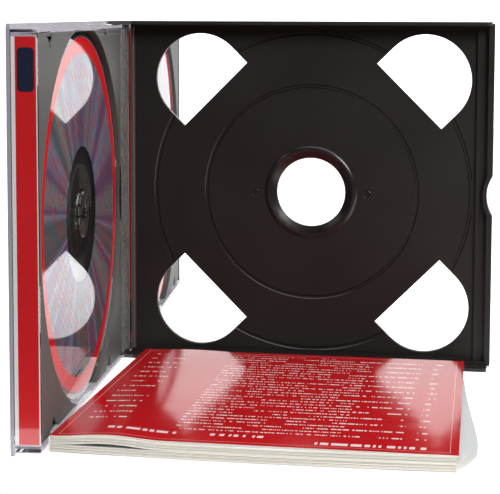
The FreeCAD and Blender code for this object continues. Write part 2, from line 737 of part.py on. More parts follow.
def tray_notches(body):
    """Tapered notches in both long edges of the deck, and the snap tabs under them."""
    tip = "Size.notch_tip_r"
    mouths = new_sketch(body, XZ, DECK)
    for notch in NOTCHES:
        middle = "Size.%s_x" % notch
        high = less(TRAY_TOP, less("Size.notch_long", tip))
        outline(mouths, [
            (less(middle, "Size.%s_back" % notch), TRAY_TOP),
            (less(middle, tip), high),
            (middle, less(high, tip), tip, 1),
            (plus(middle, tip), high, tip, 1),
            (plus(middle, "Size.%s_front" % notch), TRAY_TOP),
        ])
    upper = pocket(body, mouths, plus("Size.tray_wall", "Size.notch_deeper"), along=True)
    mirrored(body, [upper], XY, -1)
    tabs = new_sketch(body, XY, TRAY_TOP)
    for notch in NOTCHES:
        left, right = along_edge(notch)
        rectangle(tabs, left, right, less("0", TAB_FACE, "Size.tab_thick"), minus(TAB_FACE))
    outer = pad(body, tabs, "Size.tab_high")
    mirrored(body, [outer], XY, 1)


def tray(label, place):
    body = new_body(label)
    tray_deck(body)
    tray_well(body)
    tray_hub(body)
    tray_notches(body)
    body.Placement = place
    return body


def disc(label, place):
    body = new_body(label)
    edge = "Size.disc_edge"
    section = new_sketch(body, XY)
    outline(section, [
        ("Size.disc_hole_r", minus(SEAT)),
        (less("Size.disc_r", edge), minus(SEAT)),
        ("Size.disc_r", less(edge, SEAT)),
        ("Size.disc_r", less("0", DISC_FACE, edge)),
        (less("Size.disc_r", edge), minus(DISC_FACE)),
        ("Size.disc_hole_r", minus(DISC_FACE)),
    ])
    turned_about(body, section, "Revolution")
    body.Placement = place
    return body


def leaf(side, place):
    return [
        shell(side + "_case", place),
        inlay_card(side + "_inlay_card", place),
        tray(side + "_tray", place),
        disc(side + "_disc", place),
    ]


# Booklet, drawn with the far end of its fold at the origin

COVER_UNDER = "(Size.book_thick - Size.cover_thick)"


def leg_middles():
    """Where the staple legs stand along the fold."""
    for middle in ("Size.staple_inset", "(Size.book_length - Size.staple_inset)"):
        half = "((Size.staple_crown - Size.staple_wire) / 2)"
        yield minus(less(middle, half))
        yield minus(plus(middle, half))


def lean_in(body):
    """Trim a cover's free edge so that it leans in towards the far end."""
    wedge = new_sketch(body, XY)
    outline(wedge, [
        (less("Size.book_width", "Size.book_skew"), "0"),
        ("Size.book_width", "-Size.book_length"),
        ("Size.book_width", "0"),
    ])
    pocket(body, wedge)


def staple_slots(body):
    legs = new_sketch(body, YZ, plus("Size.staple_reach", "Size.staple_gap"))
    half = "(Size.staple_wire / 2 + Size.staple_gap)"
    for middle in leg_middles():
        rectangle(legs, less(middle, half), plus(middle, half),
                  less("Size.book_thick / 2", half), plus("Size.book_thick / 2", half))
    pocket(body, legs, plus("Size.staple_reach", "Size.staple_gap"))


def page_outline(sketch, out):
    """The pages from above: a bowed near edge, and a free edge that fans out towards the near end."""
    left = "(Size.cover_thick + Size.page_gap)"
    right = "(Size.book_width - Size.page_short)"
    chord = less(right, left)
    bow = "((%s ^ 2 / 4 + Size.page_bow ^ 2) / (2 * Size.page_bow))" % chord
    loop = [
        (left, "-Size.book_length"),
        (right, "-Size.book_length", bow, 1),
        (less(right, "Size.book_skew"), "-Size.page_short"),
        (left, "-Size.page_short"),
    ]
    if out != "0":
        widest = (plus(right, out), "(-Size.fan_share * Size.book_length)", "Size.fan_round", 1)
        loop.insert(2, widest)
    outline(sketch, loop)


def booklet_pages():
    """One block of pages. The lower ones fan out in steps at the near right corner."""
    body = new_body("booklet_pages")
    inside = less(COVER_UNDER, "Size.cover_thick")
    block = new_sketch(body, XY, "Size.cover_thick")
    page_outline(block, "0")
    pad(body, block, inside)
    levels = int(size("Size.fan_levels"))
    for level in range(levels):
        fanned = new_sketch(body, XY, "Size.cover_thick")
        page_outline(fanned, "(Size.fan_out * %d / Size.fan_levels)" % (levels - level))
        pad(body, fanned, "(%s * %d / (Size.fan_levels + 1))" % (inside, level + 1))
    under = [(size("Size.cover_thick + Size.page_gap"), size("Size.cover_thick"))]
    rounded(body, "(Size.fold_r - Size.cover_thick)", lambda edge: runs_along(edge, 1, under))
    staple_slots(body)
    body.Placement = book_place()
    return body


def booklet_cover_bottom():
    """The lower cover with the fold standing up beside the pages."""
    body = new_body("booklet_cover_bottom")
    sheet_thick = "Size.cover_thick"
    section = new_sketch(body, XZ)
    outline(section, [
        ("0", COVER_UNDER),
        ("0", "Size.fold_r"),
        ("Size.fold_r", "0", "Size.fold_r", 1),
        ("Size.book_width", "0"),
        ("Size.book_width", sheet_thick),
        ("Size.fold_r", sheet_thick),
        (sheet_thick, "Size.fold_r", "(Size.fold_r - Size.cover_thick)", -1),
        (sheet_thick, COVER_UNDER),
    ])
    pad(body, section, "Size.book_length")
    lean_in(body)
    staple_slots(body)
    body.Placement = book_place()
    return body


def booklet_cover_top():
    """The upper cover, which opens about the top of the fold."""
    body = new_body("booklet_cover_top")
    section = new_sketch(body, XZ)
    outline(section, [
        ("0", COVER_UNDER, "Size.cover_thick", 1),
        ("Size.book_width", COVER_UNDER),
        ("Size.book_width", "Size.book_thick"),
        ("Size.cover_thick", "Size.book_thick"),
    ])
    pad(body, section, "Size.book_length")
    lean_in(body)
    body.Placement = book_place()
    return body


def booklet_staples():
    """Two wire staples through the fold, in one group."""
    legs = list(leg_middles())
    wires = []
    for number in (0, 2):
        body = new_body("staple_%d" % (number // 2 + 1))
        far, near = legs[number], legs[number + 1]
        half = "(Size.staple_wire / 2)"
        loop = new_sketch(body, XY, "Size.book_thick / 2")
        outline(loop, [
            ("-Size.staple_wire", less(near, half)),
            ("Size.staple_reach", less(near, half)),
            ("Size.staple_reach", plus(near, half)),
            ("0", plus(near, half)),
            ("0", less(far, half)),
            ("Size.staple_reach", less(far, half)),
            ("Size.staple_reach", plus(far, half)),
            ("-Size.staple_wire", plus(far, half)),
        ])
        pad(body, loop, "Size.staple_wire", both=True)
        wires.append(body)
    group = doc.addObject("Part::Compound", "booklet_staples")
    group.Label = "booklet_staples"
    group.Links = wires
    doc.recompute()
    group.Placement = book_place()
    return group


pieces = [centre_frame()]
pieces += leaf("front", front_place())
pieces += leaf("rear", rear_place())
pieces += [booklet_pages(), booklet_cover_bottom(), booklet_cover_top(), booklet_staples()]
doc.recompute()

for item in doc.Objects:
    if "Invalid" in item.State or "Error" in item.State:
        raise RuntimeError("%s: %s" % (item.Label, item.State))
for piece in pieces:
    if piece.Shape.isNull() or not piece.Shape.isValid():
        raise RuntimeError("%s has no valid shape" % piece.Label)

os.makedirs("parts", exist_ok=True)
for piece in pieces:
    piece.Shape.exportStep("parts/%s.step" % piece.Label)
    print("%-22s %d solid(s) %9.1f mm3" % (piece.Label, len(piece.Shape.Solids), piece.Shape.Volume))
print("pivot %.3f %.3f, fold %.3f" % (size(PIVOT_X), size("Size.pivot_from_mid"), book_place().Base.x))
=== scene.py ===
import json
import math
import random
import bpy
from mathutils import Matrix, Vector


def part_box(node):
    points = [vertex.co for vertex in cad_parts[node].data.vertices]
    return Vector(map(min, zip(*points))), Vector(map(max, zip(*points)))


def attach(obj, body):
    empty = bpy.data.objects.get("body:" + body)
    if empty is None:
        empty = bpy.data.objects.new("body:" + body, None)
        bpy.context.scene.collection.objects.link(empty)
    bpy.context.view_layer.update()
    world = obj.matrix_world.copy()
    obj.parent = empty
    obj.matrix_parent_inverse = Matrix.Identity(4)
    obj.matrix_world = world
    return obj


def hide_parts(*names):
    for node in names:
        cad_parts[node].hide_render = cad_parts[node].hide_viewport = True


bl_info = {
    "name": "Double disc box",
    "version": (1, 0, 0),
    "blender": (4, 5, 0),
    "location": "3D View > Sidebar > Disc Box",
    "description": "Finishes an open double disc box with its booklet, and lights it on a white table",
    "category": "Object",
}

from collections import namedtuple

import bmesh
import bpy
from bpy.props import FloatProperty, FloatVectorProperty, IntProperty, PointerProperty
from mathutils import Matrix, Vector

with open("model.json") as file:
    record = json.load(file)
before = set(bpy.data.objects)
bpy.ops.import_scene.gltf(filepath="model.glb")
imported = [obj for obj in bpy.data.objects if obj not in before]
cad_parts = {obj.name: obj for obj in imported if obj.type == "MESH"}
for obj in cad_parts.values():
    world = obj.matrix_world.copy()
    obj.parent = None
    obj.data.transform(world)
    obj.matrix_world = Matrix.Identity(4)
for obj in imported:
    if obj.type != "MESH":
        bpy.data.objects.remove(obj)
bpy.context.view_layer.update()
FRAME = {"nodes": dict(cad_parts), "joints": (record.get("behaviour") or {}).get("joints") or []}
MM = 0.001

# Axes of the two leaves, from the joints of the frame
PIVOTS = {joint["child"]: Vector(joint["pos_m"]) for joint in FRAME["joints"]}
TURNS = {joint["child"]: joint["range_deg"] for joint in FRAME["joints"]}
BOX_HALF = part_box("centre_frame")[1].z / 2
FOLD_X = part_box("booklet_cover_bottom")[0].x
FOLD_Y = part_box("booklet_cover_bottom")[1].y


# What a user would change

class BoxSizes(bpy.types.PropertyGroup):
    """Sizes of the print, the disc and the pages that the frame doesn't give"""
    edge_ease: FloatProperty(
        name="Eased edge", description="Rounding of the moulded edges",
        default=0.12 * MM, subtype="DISTANCE", unit="LENGTH")
    dimple_out: FloatProperty(
        name="Dimple place", description="Dimple beside the middle of the hub hole",
        default=20.7 * MM, subtype="DISTANCE", unit="LENGTH")
    dimple_drop: FloatProperty(
        name="Dimple drop", description="Dimple below the middle of the hub hole",
        default=0.45 * MM, subtype="DISTANCE", unit="LENGTH")
    dimple_radius: FloatProperty(
        name="Dimple radius", description="Radius of the ring around a dimple",
        default=1.35 * MM, subtype="DISTANCE", unit="LENGTH")
    dimple_rim: FloatProperty(
        name="Dimple rim", description="Half thickness of that ring",
        default=0.16 * MM, subtype="DISTANCE", unit="LENGTH")
    plate_half: FloatProperty(
        name="Plate", description="Front face of the plate in front of the middle of the box",
        default=0.9 * MM, subtype="DISTANCE", unit="LENGTH")
    disc_radius: FloatProperty(
        name="Disc radius", description="Outer radius of a disc",
        default=60 * MM, subtype="DISTANCE", unit="LENGTH")
    disc_hole: FloatProperty(
        name="Disc hole", description="Radius of the hole in a disc",
        default=7.5 * MM, subtype="DISTANCE", unit="LENGTH")
    disc_bevel: FloatProperty(
        name="Disc bevel", description="Bevel along the rim of a disc",
        default=0.2 * MM, subtype="DISTANCE", unit="LENGTH")
    disc_face: FloatProperty(
        name="Disc face", description="Printed face of a disc, below the middle of the shut box",
        default=-4.8 * MM, subtype="DISTANCE", unit="LENGTH")
    disc_back: FloatProperty(
        name="Disc back", description="Other face of a disc, below the middle of the shut box",
        default=-6.0 * MM, subtype="DISTANCE", unit="LENGTH")
    # Radius of the hub's smooth middle, which also carries painted shade
    hub_smooth_shaded: FloatProperty(
        name="Smooth hub", description="Radius of the smooth middle of a tray's hub",
        default=9 * MM, subtype="DISTANCE", unit="LENGTH")
    band_end: FloatProperty(
        name="Band end", description="Where the coarse band along a tray's hinge side ends",
        default=-60 * MM, subtype="DISTANCE", unit="LENGTH")
    rail_end: FloatProperty(
        name="Rail end", description="Where the smooth rail along the hinge side ends",
        default=-66.1 * MM, subtype="DISTANCE", unit="LENGTH")
    disc_clear: FloatProperty(
        name="Clear centre", description="Radius of the disc's clear centre",
        default=22.2 * MM, subtype="DISTANCE", unit="LENGTH")
    ring_inside: FloatProperty(
        name="Ring inside", description="Inner radius of the printed ring",
        default=52.5 * MM, subtype="DISTANCE", unit="LENGTH")
    ring_outside: FloatProperty(
        name="Ring outside", description="Outer radius of the printed ring",
        default=57.7 * MM, subtype="DISTANCE", unit="LENGTH")
    print_margin: FloatProperty(
        name="Print margin", description="White border of the printed card",
        default=0.6 * MM, subtype="DISTANCE", unit="LENGTH")
    spine_low: FloatProperty(
        name="Spine print, outer side", description="Where the red of a spine starts, below the middle",
        default=-9.65 * MM, subtype="DISTANCE", unit="LENGTH")
    spine_high: FloatProperty(
        name="Spine print, inner side", description="Where the red of a spine ends, below the middle",
        default=-3.55 * MM, subtype="DISTANCE", unit="LENGTH")
    field_drop: FloatProperty(
        name="Field drop", description="Middle of the navy field below the head of the spine",
        default=10 * MM, subtype="DISTANCE", unit="LENGTH")
    field_half_wide: FloatProperty(
        name="Field half width", description="Half width of the navy field",
        default=2.5 * MM, subtype="DISTANCE", unit="LENGTH")
    field_half_tall: FloatProperty(
        name="Field half height", description="Half height of the navy field",
        default=6.3 * MM, subtype="DISTANCE", unit="LENGTH")
    field_corner: FloatProperty(
        name="Field corner", description="Rounding of the navy field",
        default=1.3 * MM, subtype="DISTANCE", unit="LENGTH")
    rule_inset: FloatProperty(
        name="Rule inset", description="Thin rule inside the edges of the booklet's cover",
        default=2.4 * MM, subtype="DISTANCE", unit="LENGTH")
    rule_width: FloatProperty(
        name="Rule width", description="Width of that rule",
        default=0.18 * MM, subtype="DISTANCE", unit="LENGTH")
    side_wall: FloatProperty(
        name="Side wall", description="Thickness of the side walls of the clear shells",
        default=1.7 * MM, subtype="DISTANCE", unit="LENGTH")
    # Width of the strip of painted grey shade along the side walls of the clear shells
    side_shade_strip: FloatProperty(
        name="Side margin", description="Greyed strip along the side walls of the clear shells",
        default=3.6 * MM, subtype="DISTANCE", unit="LENGTH")
    wall_inside: FloatProperty(
        name="Wall inside", description="Inner face of the broad clear wall, below the box's middle",
        default=-10.78 * MM, subtype="DISTANCE", unit="LENGTH")
    # How far down the painted shade on the hinge wall's rim reaches
    rim_shade_depth: FloatProperty(
        name="Rim depth", description="Depth down to which the hinge wall's rim is tinted",
        default=-8 * MM, subtype="DISTANCE", unit="LENGTH")
    page_count: IntProperty(
        name="Page groups", description="Layers that the page block is drawn in",
        default=16, min=6, max=40)
    page_bulge: FloatProperty(
        name="Bulge", description="Rise of the pages beside the fold, at the near end",
        default=1.0 * MM, subtype="DISTANCE", unit="LENGTH")
    book_lean: FloatProperty(
        name="Lean", description="How far the free edge leans in at the far end",
        default=3.0 * MM, subtype="DISTANCE", unit="LENGTH")
    page_bow: FloatProperty(
        name="Bow", description="Bow of the pages' near edge",
        default=2.0 * MM, subtype="DISTANCE", unit="LENGTH")
    page_fan: FloatProperty(
        name="Fan", description="How far the lowest pages stand out at the near right corner",
        default=6.4 * MM, subtype="DISTANCE", unit="LENGTH")


class FinishColours(bpy.types.PropertyGroup):
    """Colours of the mouldings, the print and the paper"""
    black: FloatVectorProperty(
        name="Black plastic", description="Centre frame", subtype="COLOR",
        default=(0.0085, 0.0062, 0.0058))
    # Also the colour of the painted shadow line on the rim of the clear hinge wall
    rail: FloatVectorProperty(
        name="Rail", description="Smooth rail along the hinge side of the frame", subtype="COLOR",
        default=(0.07, 0.054, 0.05))
    grey: FloatVectorProperty(
        name="Grey plastic", description="Disc trays", subtype="COLOR",
        default=(0.08, 0.08, 0.073))
    red: FloatVectorProperty(
        name="Print red", description="Red of the printed cards and the booklet", subtype="COLOR",
        default=(0.62, 0.009, 0.013))
    navy: FloatVectorProperty(
        name="Print navy", description="Rounded field at the head of the spine", subtype="COLOR",
        default=(0.008, 0.011, 0.035))
    white: FloatVectorProperty(
        name="Card white", description="Unprinted card", subtype="COLOR",
        default=(0.8, 0.79, 0.77))
    cream: FloatVectorProperty(
        name="Page cream", description="Cut edges of the pages", subtype="COLOR",
        default=(0.8, 0.75, 0.66))
    # Colour of the painted grey shade along the side walls of the clear shells
    clear_wall_shade: FloatVectorProperty(
        name="Clear body", description="Tint of the clear plastic at its side walls", subtype="COLOR",
        default=(0.47, 0.45, 0.5))
    # Colour of the painted shade on the end faces of the clear walls
    clear_edge_shade: FloatVectorProperty(
        name="Clear edge", description="Tint of the clear plastic looked into from its edge", subtype="COLOR",
        default=(0.38, 0.36, 0.42))
    page: FloatVectorProperty(
        name="Page white", description="Faces of the pages", subtype="COLOR",
        default=(0.47, 0.48, 0.49))
    silver: FloatVectorProperty(
        name="Disc silver", description="Metal layer of the discs", subtype="COLOR",
        default=(0.28, 0.28, 0.28))


class StageSettings(bpy.types.PropertyGroup):
    """Camera and light levels"""
    place: FloatVectorProperty(
        name="Camera place", description="Where the camera stands", subtype="TRANSLATION",
        unit="LENGTH", default=(75.58 * MM, -570.61 * MM, 128.39 * MM))
    lens: FloatProperty(
        name="Lens", description="Focal length for a 36 mm sensor", default=113.17, unit="CAMERA")
    shift: FloatProperty(
        name="Rise", description="Vertical shift of the lens, as a share of the picture's width",
        default=-0.169)
    yaw: FloatProperty(
        name="Yaw", description="Camera turn to the left of the frame's normal",
        default=math.radians(9.79), subtype="ANGLE", unit="ROTATION")
    pitch: FloatProperty(
        name="Pitch", description="Camera tilt below level",
        default=math.radians(5.47), subtype="ANGLE", unit="ROTATION")
    roll: FloatProperty(
        name="Roll", description="Camera roll", default=math.radians(0.15),
        subtype="ANGLE", unit="ROTATION")
    ambient: FloatProperty(
        name="Ambient", description="Strength of the surrounding light", default=0.42,
        subtype="FACTOR")
    overhead: FloatProperty(
        name="Overhead", description="Power of the large lamp above", default=9.0,
        subtype="POWER", unit="POWER")
    side: FloatProperty(
        name="Side", description="Power of the lamp at the left", default=2.5,
        subtype="POWER", unit="POWER")
    front: FloatProperty(
        name="Front", description="Power of the lamp at the front right", default=15.0,
        subtype="POWER", unit="POWER")


def sizes():
    return bpy.context.scene.disc_box_sizes


def colours():
    return bpy.context.scene.disc_box_colours


def stage_settings():
    return bpy.context.scene.disc_box_stage


# Places

def leaf_place(side):
    """Where a leaf drawn shut, with the disc axis at its origin, stands in the scene."""
    body = side + "_leaf"
    pivot = PIVOTS[body]
    shut = -math.radians(TURNS[body][0])
    angle = shut - math.pi if side == "front" else shut
    swing = Matrix.Translation(pivot) @ Matrix.Rotation(angle, 4, "Z") @ Matrix.Translation(-pivot)
    over = Matrix.Rotation(math.pi, 4, "X") if side == "rear" else Matrix()
    return swing @ Matrix.Translation((0, 0, BOX_HALF)) @ over


def box_place():
    return Matrix.Translation((0, 0, BOX_HALF))


def book_place():
    return Matrix.Translation((FOLD_X, FOLD_Y, 0))


# Material building

# Share of the lamps' light that passes a clear wall
CLEAR_TINT = (0.94, 0.94, 0.94)
# A normal counts as facing along an axis from this share on
FACES_ALONG = 0.7
# Rows of broken rules on a disc, and how they slant
DISC_ROWS = {"Pitch": 2.7 * MM, "Height": 1.6 * MM, "Stroke": 0.8 * MM, "Word": 18 * MM}
DISC_ROWS_SLANT = math.radians(38)
# Painted rainbow sheen on the disc's mirror: place in the fan, and factors on its silver
PAINTED_RAINBOW_SHEEN = (
    (0.4, (0.34, 0.5, 0.56)),
    (0.48, (0.95, 1.0, 1.35)),
    (0.55, (0.5, 0.36, 0.75)),
    (0.63, (0.7, 0.85, 0.95)),
)
SHEEN_START, SHEEN_END = 0.3, 0.72

PrintBlock = namedtuple("PrintBlock", "left right first last pitch height stroke word seed gaps")
# Blocks of broken rules on the cover, in mm from the fold and from the near end, with their seed and
# the share of words left out
COVER_BLOCKS = (
    PrintBlock(106, 109, 14, 118, 7.0, 1.3, 0.6, 9.0, 1.0, 0.1),
    PrintBlock(80, 102, 14, 118, 7.0, 1.2, 0.36, 5.0, 9.0, 0.15),
    PrintBlock(34, 84, 12, 116, 3.5, 0.9, 0.3, 6.0, 2.0, 0.18),
    PrintBlock(6, 18, 16, 118, 7.0, 1.2, 0.36, 4.0, 3.0, 0.08),
    PrintBlock(76, 111, 4.2, 6.6, 4.2, 2.4, 0.8, 40.0, 4.0, 0.0),
    PrintBlock(14, 62, 8.4, 10.6, 8.4, 2.2, 0.7, 9.0, 6.0, 0.12),
)


class Graph:
    """A short way to build a node tree."""

    def __init__(self, tree):
        self.tree = tree

    def add(self, kind, inputs=None, **settings):
        node = self.tree.nodes.new(kind)
        for name, value in settings.items():
            setattr(node, name, value)
        for name, value in (inputs or {}).items():
            socket = node.inputs[name]
            if isinstance(value, bpy.types.NodeSocket):
                self.tree.links.new(value, socket)
            else:
                socket.default_value = value
        return node

    def math(self, operation, *values):
        return self.add("ShaderNodeMath", dict(enumerate(values)), operation=operation).outputs[0]

    def mix(self, share, first, second):
        node = self.add("ShaderNodeMix", {0: share, 6: first, 7: second}, data_type="RGBA")
        return node.outputs[2]

    def ramp(self, value, low, high, start=0.0, end=1.0):
        """A smooth step from start to end as value goes from low to high."""
        node = self.add("ShaderNodeMapRange", {0: value, 1: low, 2: high, 3: start, 4: end},
                        interpolation_type="SMOOTHSTEP")
        return node.outputs[0]

    def length(self, first, second):
        """Length of a vector with two parts."""
        return self.math("SQRT", self.math("ADD", self.math("MULTIPLY", first, first),
                                           self.math("MULTIPLY", second, second)))

    def between(self, value, low, high, soft):
        """1 between low and high."""
        return self.math("MULTIPLY", self.ramp(value, low - soft, low + soft),
                         self.ramp(value, high - soft, high + soft, 1.0, 0.0))

    def place(self):
        """The object's own coordinates, whole and split in three."""
        vector = self.add("ShaderNodeTexCoord").outputs["Object"]
        split = self.add("ShaderNodeSeparateXYZ", {0: vector})
        return vector, split.outputs[0], split.outputs[1], split.outputs[2]


def new_group(name, inputs, outputs):
    """A shader node group with named inputs and outputs."""
    tree = bpy.data.node_groups.new(name, "ShaderNodeTree")
    for label, kind, default in inputs:
        socket = tree.interface.new_socket(label, in_out="INPUT", socket_type=kind)
        if default is not None:
            socket.default_value = default
    for label, kind in outputs:
        tree.interface.new_socket(label, in_out="OUTPUT", socket_type=kind)
    return tree, Graph(tree), tree.nodes.new("NodeGroupInput"), tree.nodes.new("NodeGroupOutput")


def grain_group():
    """Spark-eroded mould grain: fine bumps with a slow random change of tone over them, and a mask of their
    peaks on which glints are painted.
    """
    if "mould_grain" in bpy.data.node_groups:
        return bpy.data.node_groups["mould_grain"]
    tree, graph, source, result = new_group(
        "mould_grain",
        [("Vector", "NodeSocketVector", None), ("Grain size", "NodeSocketFloat", 0.3 * MM),
         ("Patch size", "NodeSocketFloat", 30 * MM)],
        [("Height", "NodeSocketFloat"), ("Patches", "NodeSocketFloat"), ("Painted glint", "NodeSocketFloat")])
    fine = graph.add("ShaderNodeTexNoise", {
        "Vector": source.outputs["Vector"],
        "Scale": graph.math("DIVIDE", 1.0, source.outputs["Grain size"]),
        "Detail": 2.0, "Roughness": 0.6})
    slow = graph.add("ShaderNodeTexNoise", {
        "Vector": source.outputs["Vector"],
        "Scale": graph.math("DIVIDE", 1.0, source.outputs["Patch size"]),
        "Detail": 3.0, "Roughness": 0.55})
    tree.links.new(fine.outputs[0], result.inputs["Height"])
    tree.links.new(slow.outputs[0], result.inputs["Patches"])
    # Peaks of the fine bumps, where painted glints go
    tree.links.new(graph.ramp(fine.outputs[0], 0.62, 0.8), result.inputs["Painted glint"])
    return tree


def rows_group():
    """Broken rules that stand for rows of small print. No letters, only strokes and gaps."""
    if "broken_rules" in bpy.data.node_groups:
        return bpy.data.node_groups["broken_rules"]
    tree, graph, source, result = new_group(
        "broken_rules",
        [("Along", "NodeSocketFloat", None), ("Across", "NodeSocketFloat", None),
         ("Pitch", "NodeSocketFloat", 4 * MM), ("Height", "NodeSocketFloat", 1.2 * MM),
         ("Stroke", "NodeSocketFloat", 0.45 * MM), ("Word", "NodeSocketFloat", 7 * MM),
         ("Seed", "NodeSocketFloat", 0.0), ("Gaps", "NodeSocketFloat", 0.22)],
        [("Mask", "NodeSocketFloat")])
    row = graph.math("DIVIDE", source.outputs["Across"], source.outputs["Pitch"])
    number = graph.math("FLOOR", row)
    inside = graph.math("MULTIPLY", graph.math("FRACT", row), source.outputs["Pitch"])
    line = graph.math("LESS_THAN", inside, source.outputs["Height"])

    def hashed(length, seed):
        column = graph.math("FLOOR", graph.math("DIVIDE", source.outputs["Along"], length))
        at = graph.add("ShaderNodeCombineXYZ", {
            0: column, 1: number, 2: graph.math("ADD", source.outputs["Seed"], seed)})
        return graph.add("ShaderNodeTexWhiteNoise", {"Vector": at.outputs[0]},
                         noise_dimensions="3D").outputs[0]

    strokes = graph.math("GREATER_THAN", hashed(source.outputs["Stroke"], 0.0), 0.42)
    words = graph.math("GREATER_THAN", hashed(source.outputs["Word"], 5.0), source.outputs["Gaps"])
    mask = graph.math("MULTIPLY", line, graph.math("MULTIPLY", strokes, words))
    tree.links.new(mask, result.inputs["Mask"])
    return tree


def new_material(name):
    """A new material with its graph and its Principled shader. The prefix keeps it apart from the frame's."""
    material = bpy.data.materials.new("finish_" + name)
    material.use_nodes = True
    graph = Graph(material.node_tree)
    shader = material.node_tree.nodes["Principled BSDF"]
    return material, graph, shader


def link(graph, value, shader, socket):
    graph.tree.links.new(value, shader.inputs[socket])


def bump(graph, shader, height, depth):
    node = graph.add("ShaderNodeBump", {"Height": height, "Strength": 1.0, "Distance": depth})
    link(graph, node.outputs[0], shader, "Normal")


def let_light_through(graph, shader, tint):
    """Lamps reach what lies behind the clear piece."""
    path = graph.add("ShaderNodeLightPath")
    passes = graph.math("MAXIMUM", path.outputs["Is Shadow Ray"], path.outputs["Is Diffuse Ray"])
    window = graph.add("ShaderNodeBsdfTransparent", {"Color": rgba(tint)})
    both = graph.add("ShaderNodeMixShader", {0: passes, 1: shader.outputs[0], 2: window.outputs[0]})
    graph.tree.links.new(both.outputs[0], graph.tree.nodes["Material Output"].inputs["Surface"])


def rgba(colour):
    return (*colour, 1.0)


def tinted(colour, factor):
    return tuple(min(1.0, channel * factor) for channel in colour)


def moulded(name, colour, grain, depth, roughness, specular=0.5, variety=0.16, glint=0.35, peak_light=0.0):
    """Grained moulded plastic. variety is the slow random change of tone over it; the two settings after it
    paint highlights into the colour: glints on the grain's peaks and a lighter upper half of its bumps."""
    material, graph, shader = new_material(name)
    vector, *_ = graph.place()
    group = graph.add("ShaderNodeGroup", node_tree=grain_group())
    graph.tree.links.new(vector, group.inputs["Vector"])
    group.inputs["Grain size"].default_value = grain
    light = rgba(tinted(colour, 1 + variety))
    dark = rgba(tinted(colour, 1 - variety))
    base = graph.mix(group.outputs["Patches"], dark, light)
    # Painted glints: the grain's peaks are lightened in the colour itself
    glint_colour = rgba(tinted(colour, 2.2))
    base = graph.mix(graph.math("MULTIPLY", group.outputs["Painted glint"], glint), base, glint_colour)
    # Painted highlight: the upper half of the grain's bumps is lightened
    if peak_light:
        share = graph.ramp(group.outputs["Height"], 0.4, 0.6, 0.0, peak_light)
        base = graph.mix(share, base, rgba(tinted(colour, 2.4)))
    link(graph, base, shader, "Base Color")
    rough = graph.ramp(group.outputs["Patches"], 0.25, 0.75, roughness - 0.04, roughness + 0.05)
    link(graph, rough, shader, "Roughness")
    shader.inputs["Specular IOR Level"].default_value = specular
    bump(graph, shader, group.outputs["Height"], depth)
    return material


def clear_shader(name, through):
    """A start for clear plastic: polished, with slow ripples, and clear by the share through."""
    material, graph, shader = new_material(name)
    shader.inputs["Roughness"].default_value = 0.02
    shader.inputs["IOR"].default_value = 1.42
    shader.inputs["Transmission Weight"].default_value = through
    vector, _, _, z = graph.place()
    ripple = graph.add("ShaderNodeTexNoise", {"Vector": vector, "Scale": 60.0, "Detail": 2.0}).outputs[0]
    bump(graph, shader, ripple, 0.02 * MM)
    let_light_through(graph, shader, CLEAR_TINT)
    return material, graph, shader, vector, z, ripple


def clear_material():
    """Clear plastic with a painted grey shade, in streaks, along its side walls."""
    material, graph, shader, vector, z, _ = clear_shader("clear_plastic", 1.0)
    tone = colours()
    inside = BOX_HALF - sizes().side_shade_strip
    # Painted shade: the strip along the side walls is greyed in the colour itself
    margin = graph.ramp(graph.math("ABSOLUTE", z), inside - 0.1 * MM, inside + 0.1 * MM)
    drawn_out = graph.add("ShaderNodeMapping", {"Vector": vector, "Scale": (160, 160, 700)})
    streaks = graph.add("ShaderNodeTexNoise", {"Vector": drawn_out.outputs[0], "Scale": 1.0, "Detail": 3.0})
    grey = graph.mix(streaks.outputs[0], rgba(tone.clear_wall_shade), rgba(tinted(tone.clear_wall_shade, 1.25)))
    link(graph, graph.mix(margin, (0.985, 0.985, 0.99, 1), grey), shader, "Base Color")
    return material


def wall_end_shade_material(name, tint):
    """An end face of a clear wall, looked into along the wall, so that it is tinted and hardly clear: the
    tint is painted shade for the light lost inside the wall.
    """
    material, graph, shader, _, _, ripple = clear_shader(name, 0.15)
    base = graph.mix(ripple, rgba(tinted(tint, 0.94)), rgba(tinted(tint, 1.06)))
    link(graph, base, shader, "Base Color")
    return material


def disc_clear_material():
    material, graph, shader = new_material("disc_clear")
    shader.inputs["Base Color"].default_value = (0.82, 0.82, 0.82, 1)
    shader.inputs["Roughness"].default_value = 0.01
    shader.inputs["IOR"].default_value = 1.58
    shader.inputs["Transmission Weight"].default_value = 1.0
    vector, *_ = graph.place()
    ripple = graph.add("ShaderNodeTexNoise", {"Vector": vector, "Scale": 25.0})
    bump(graph, shader, ripple.outputs[0], 0.01 * MM)
    let_light_through(graph, shader, (0.8, 0.8, 0.8))
    return material


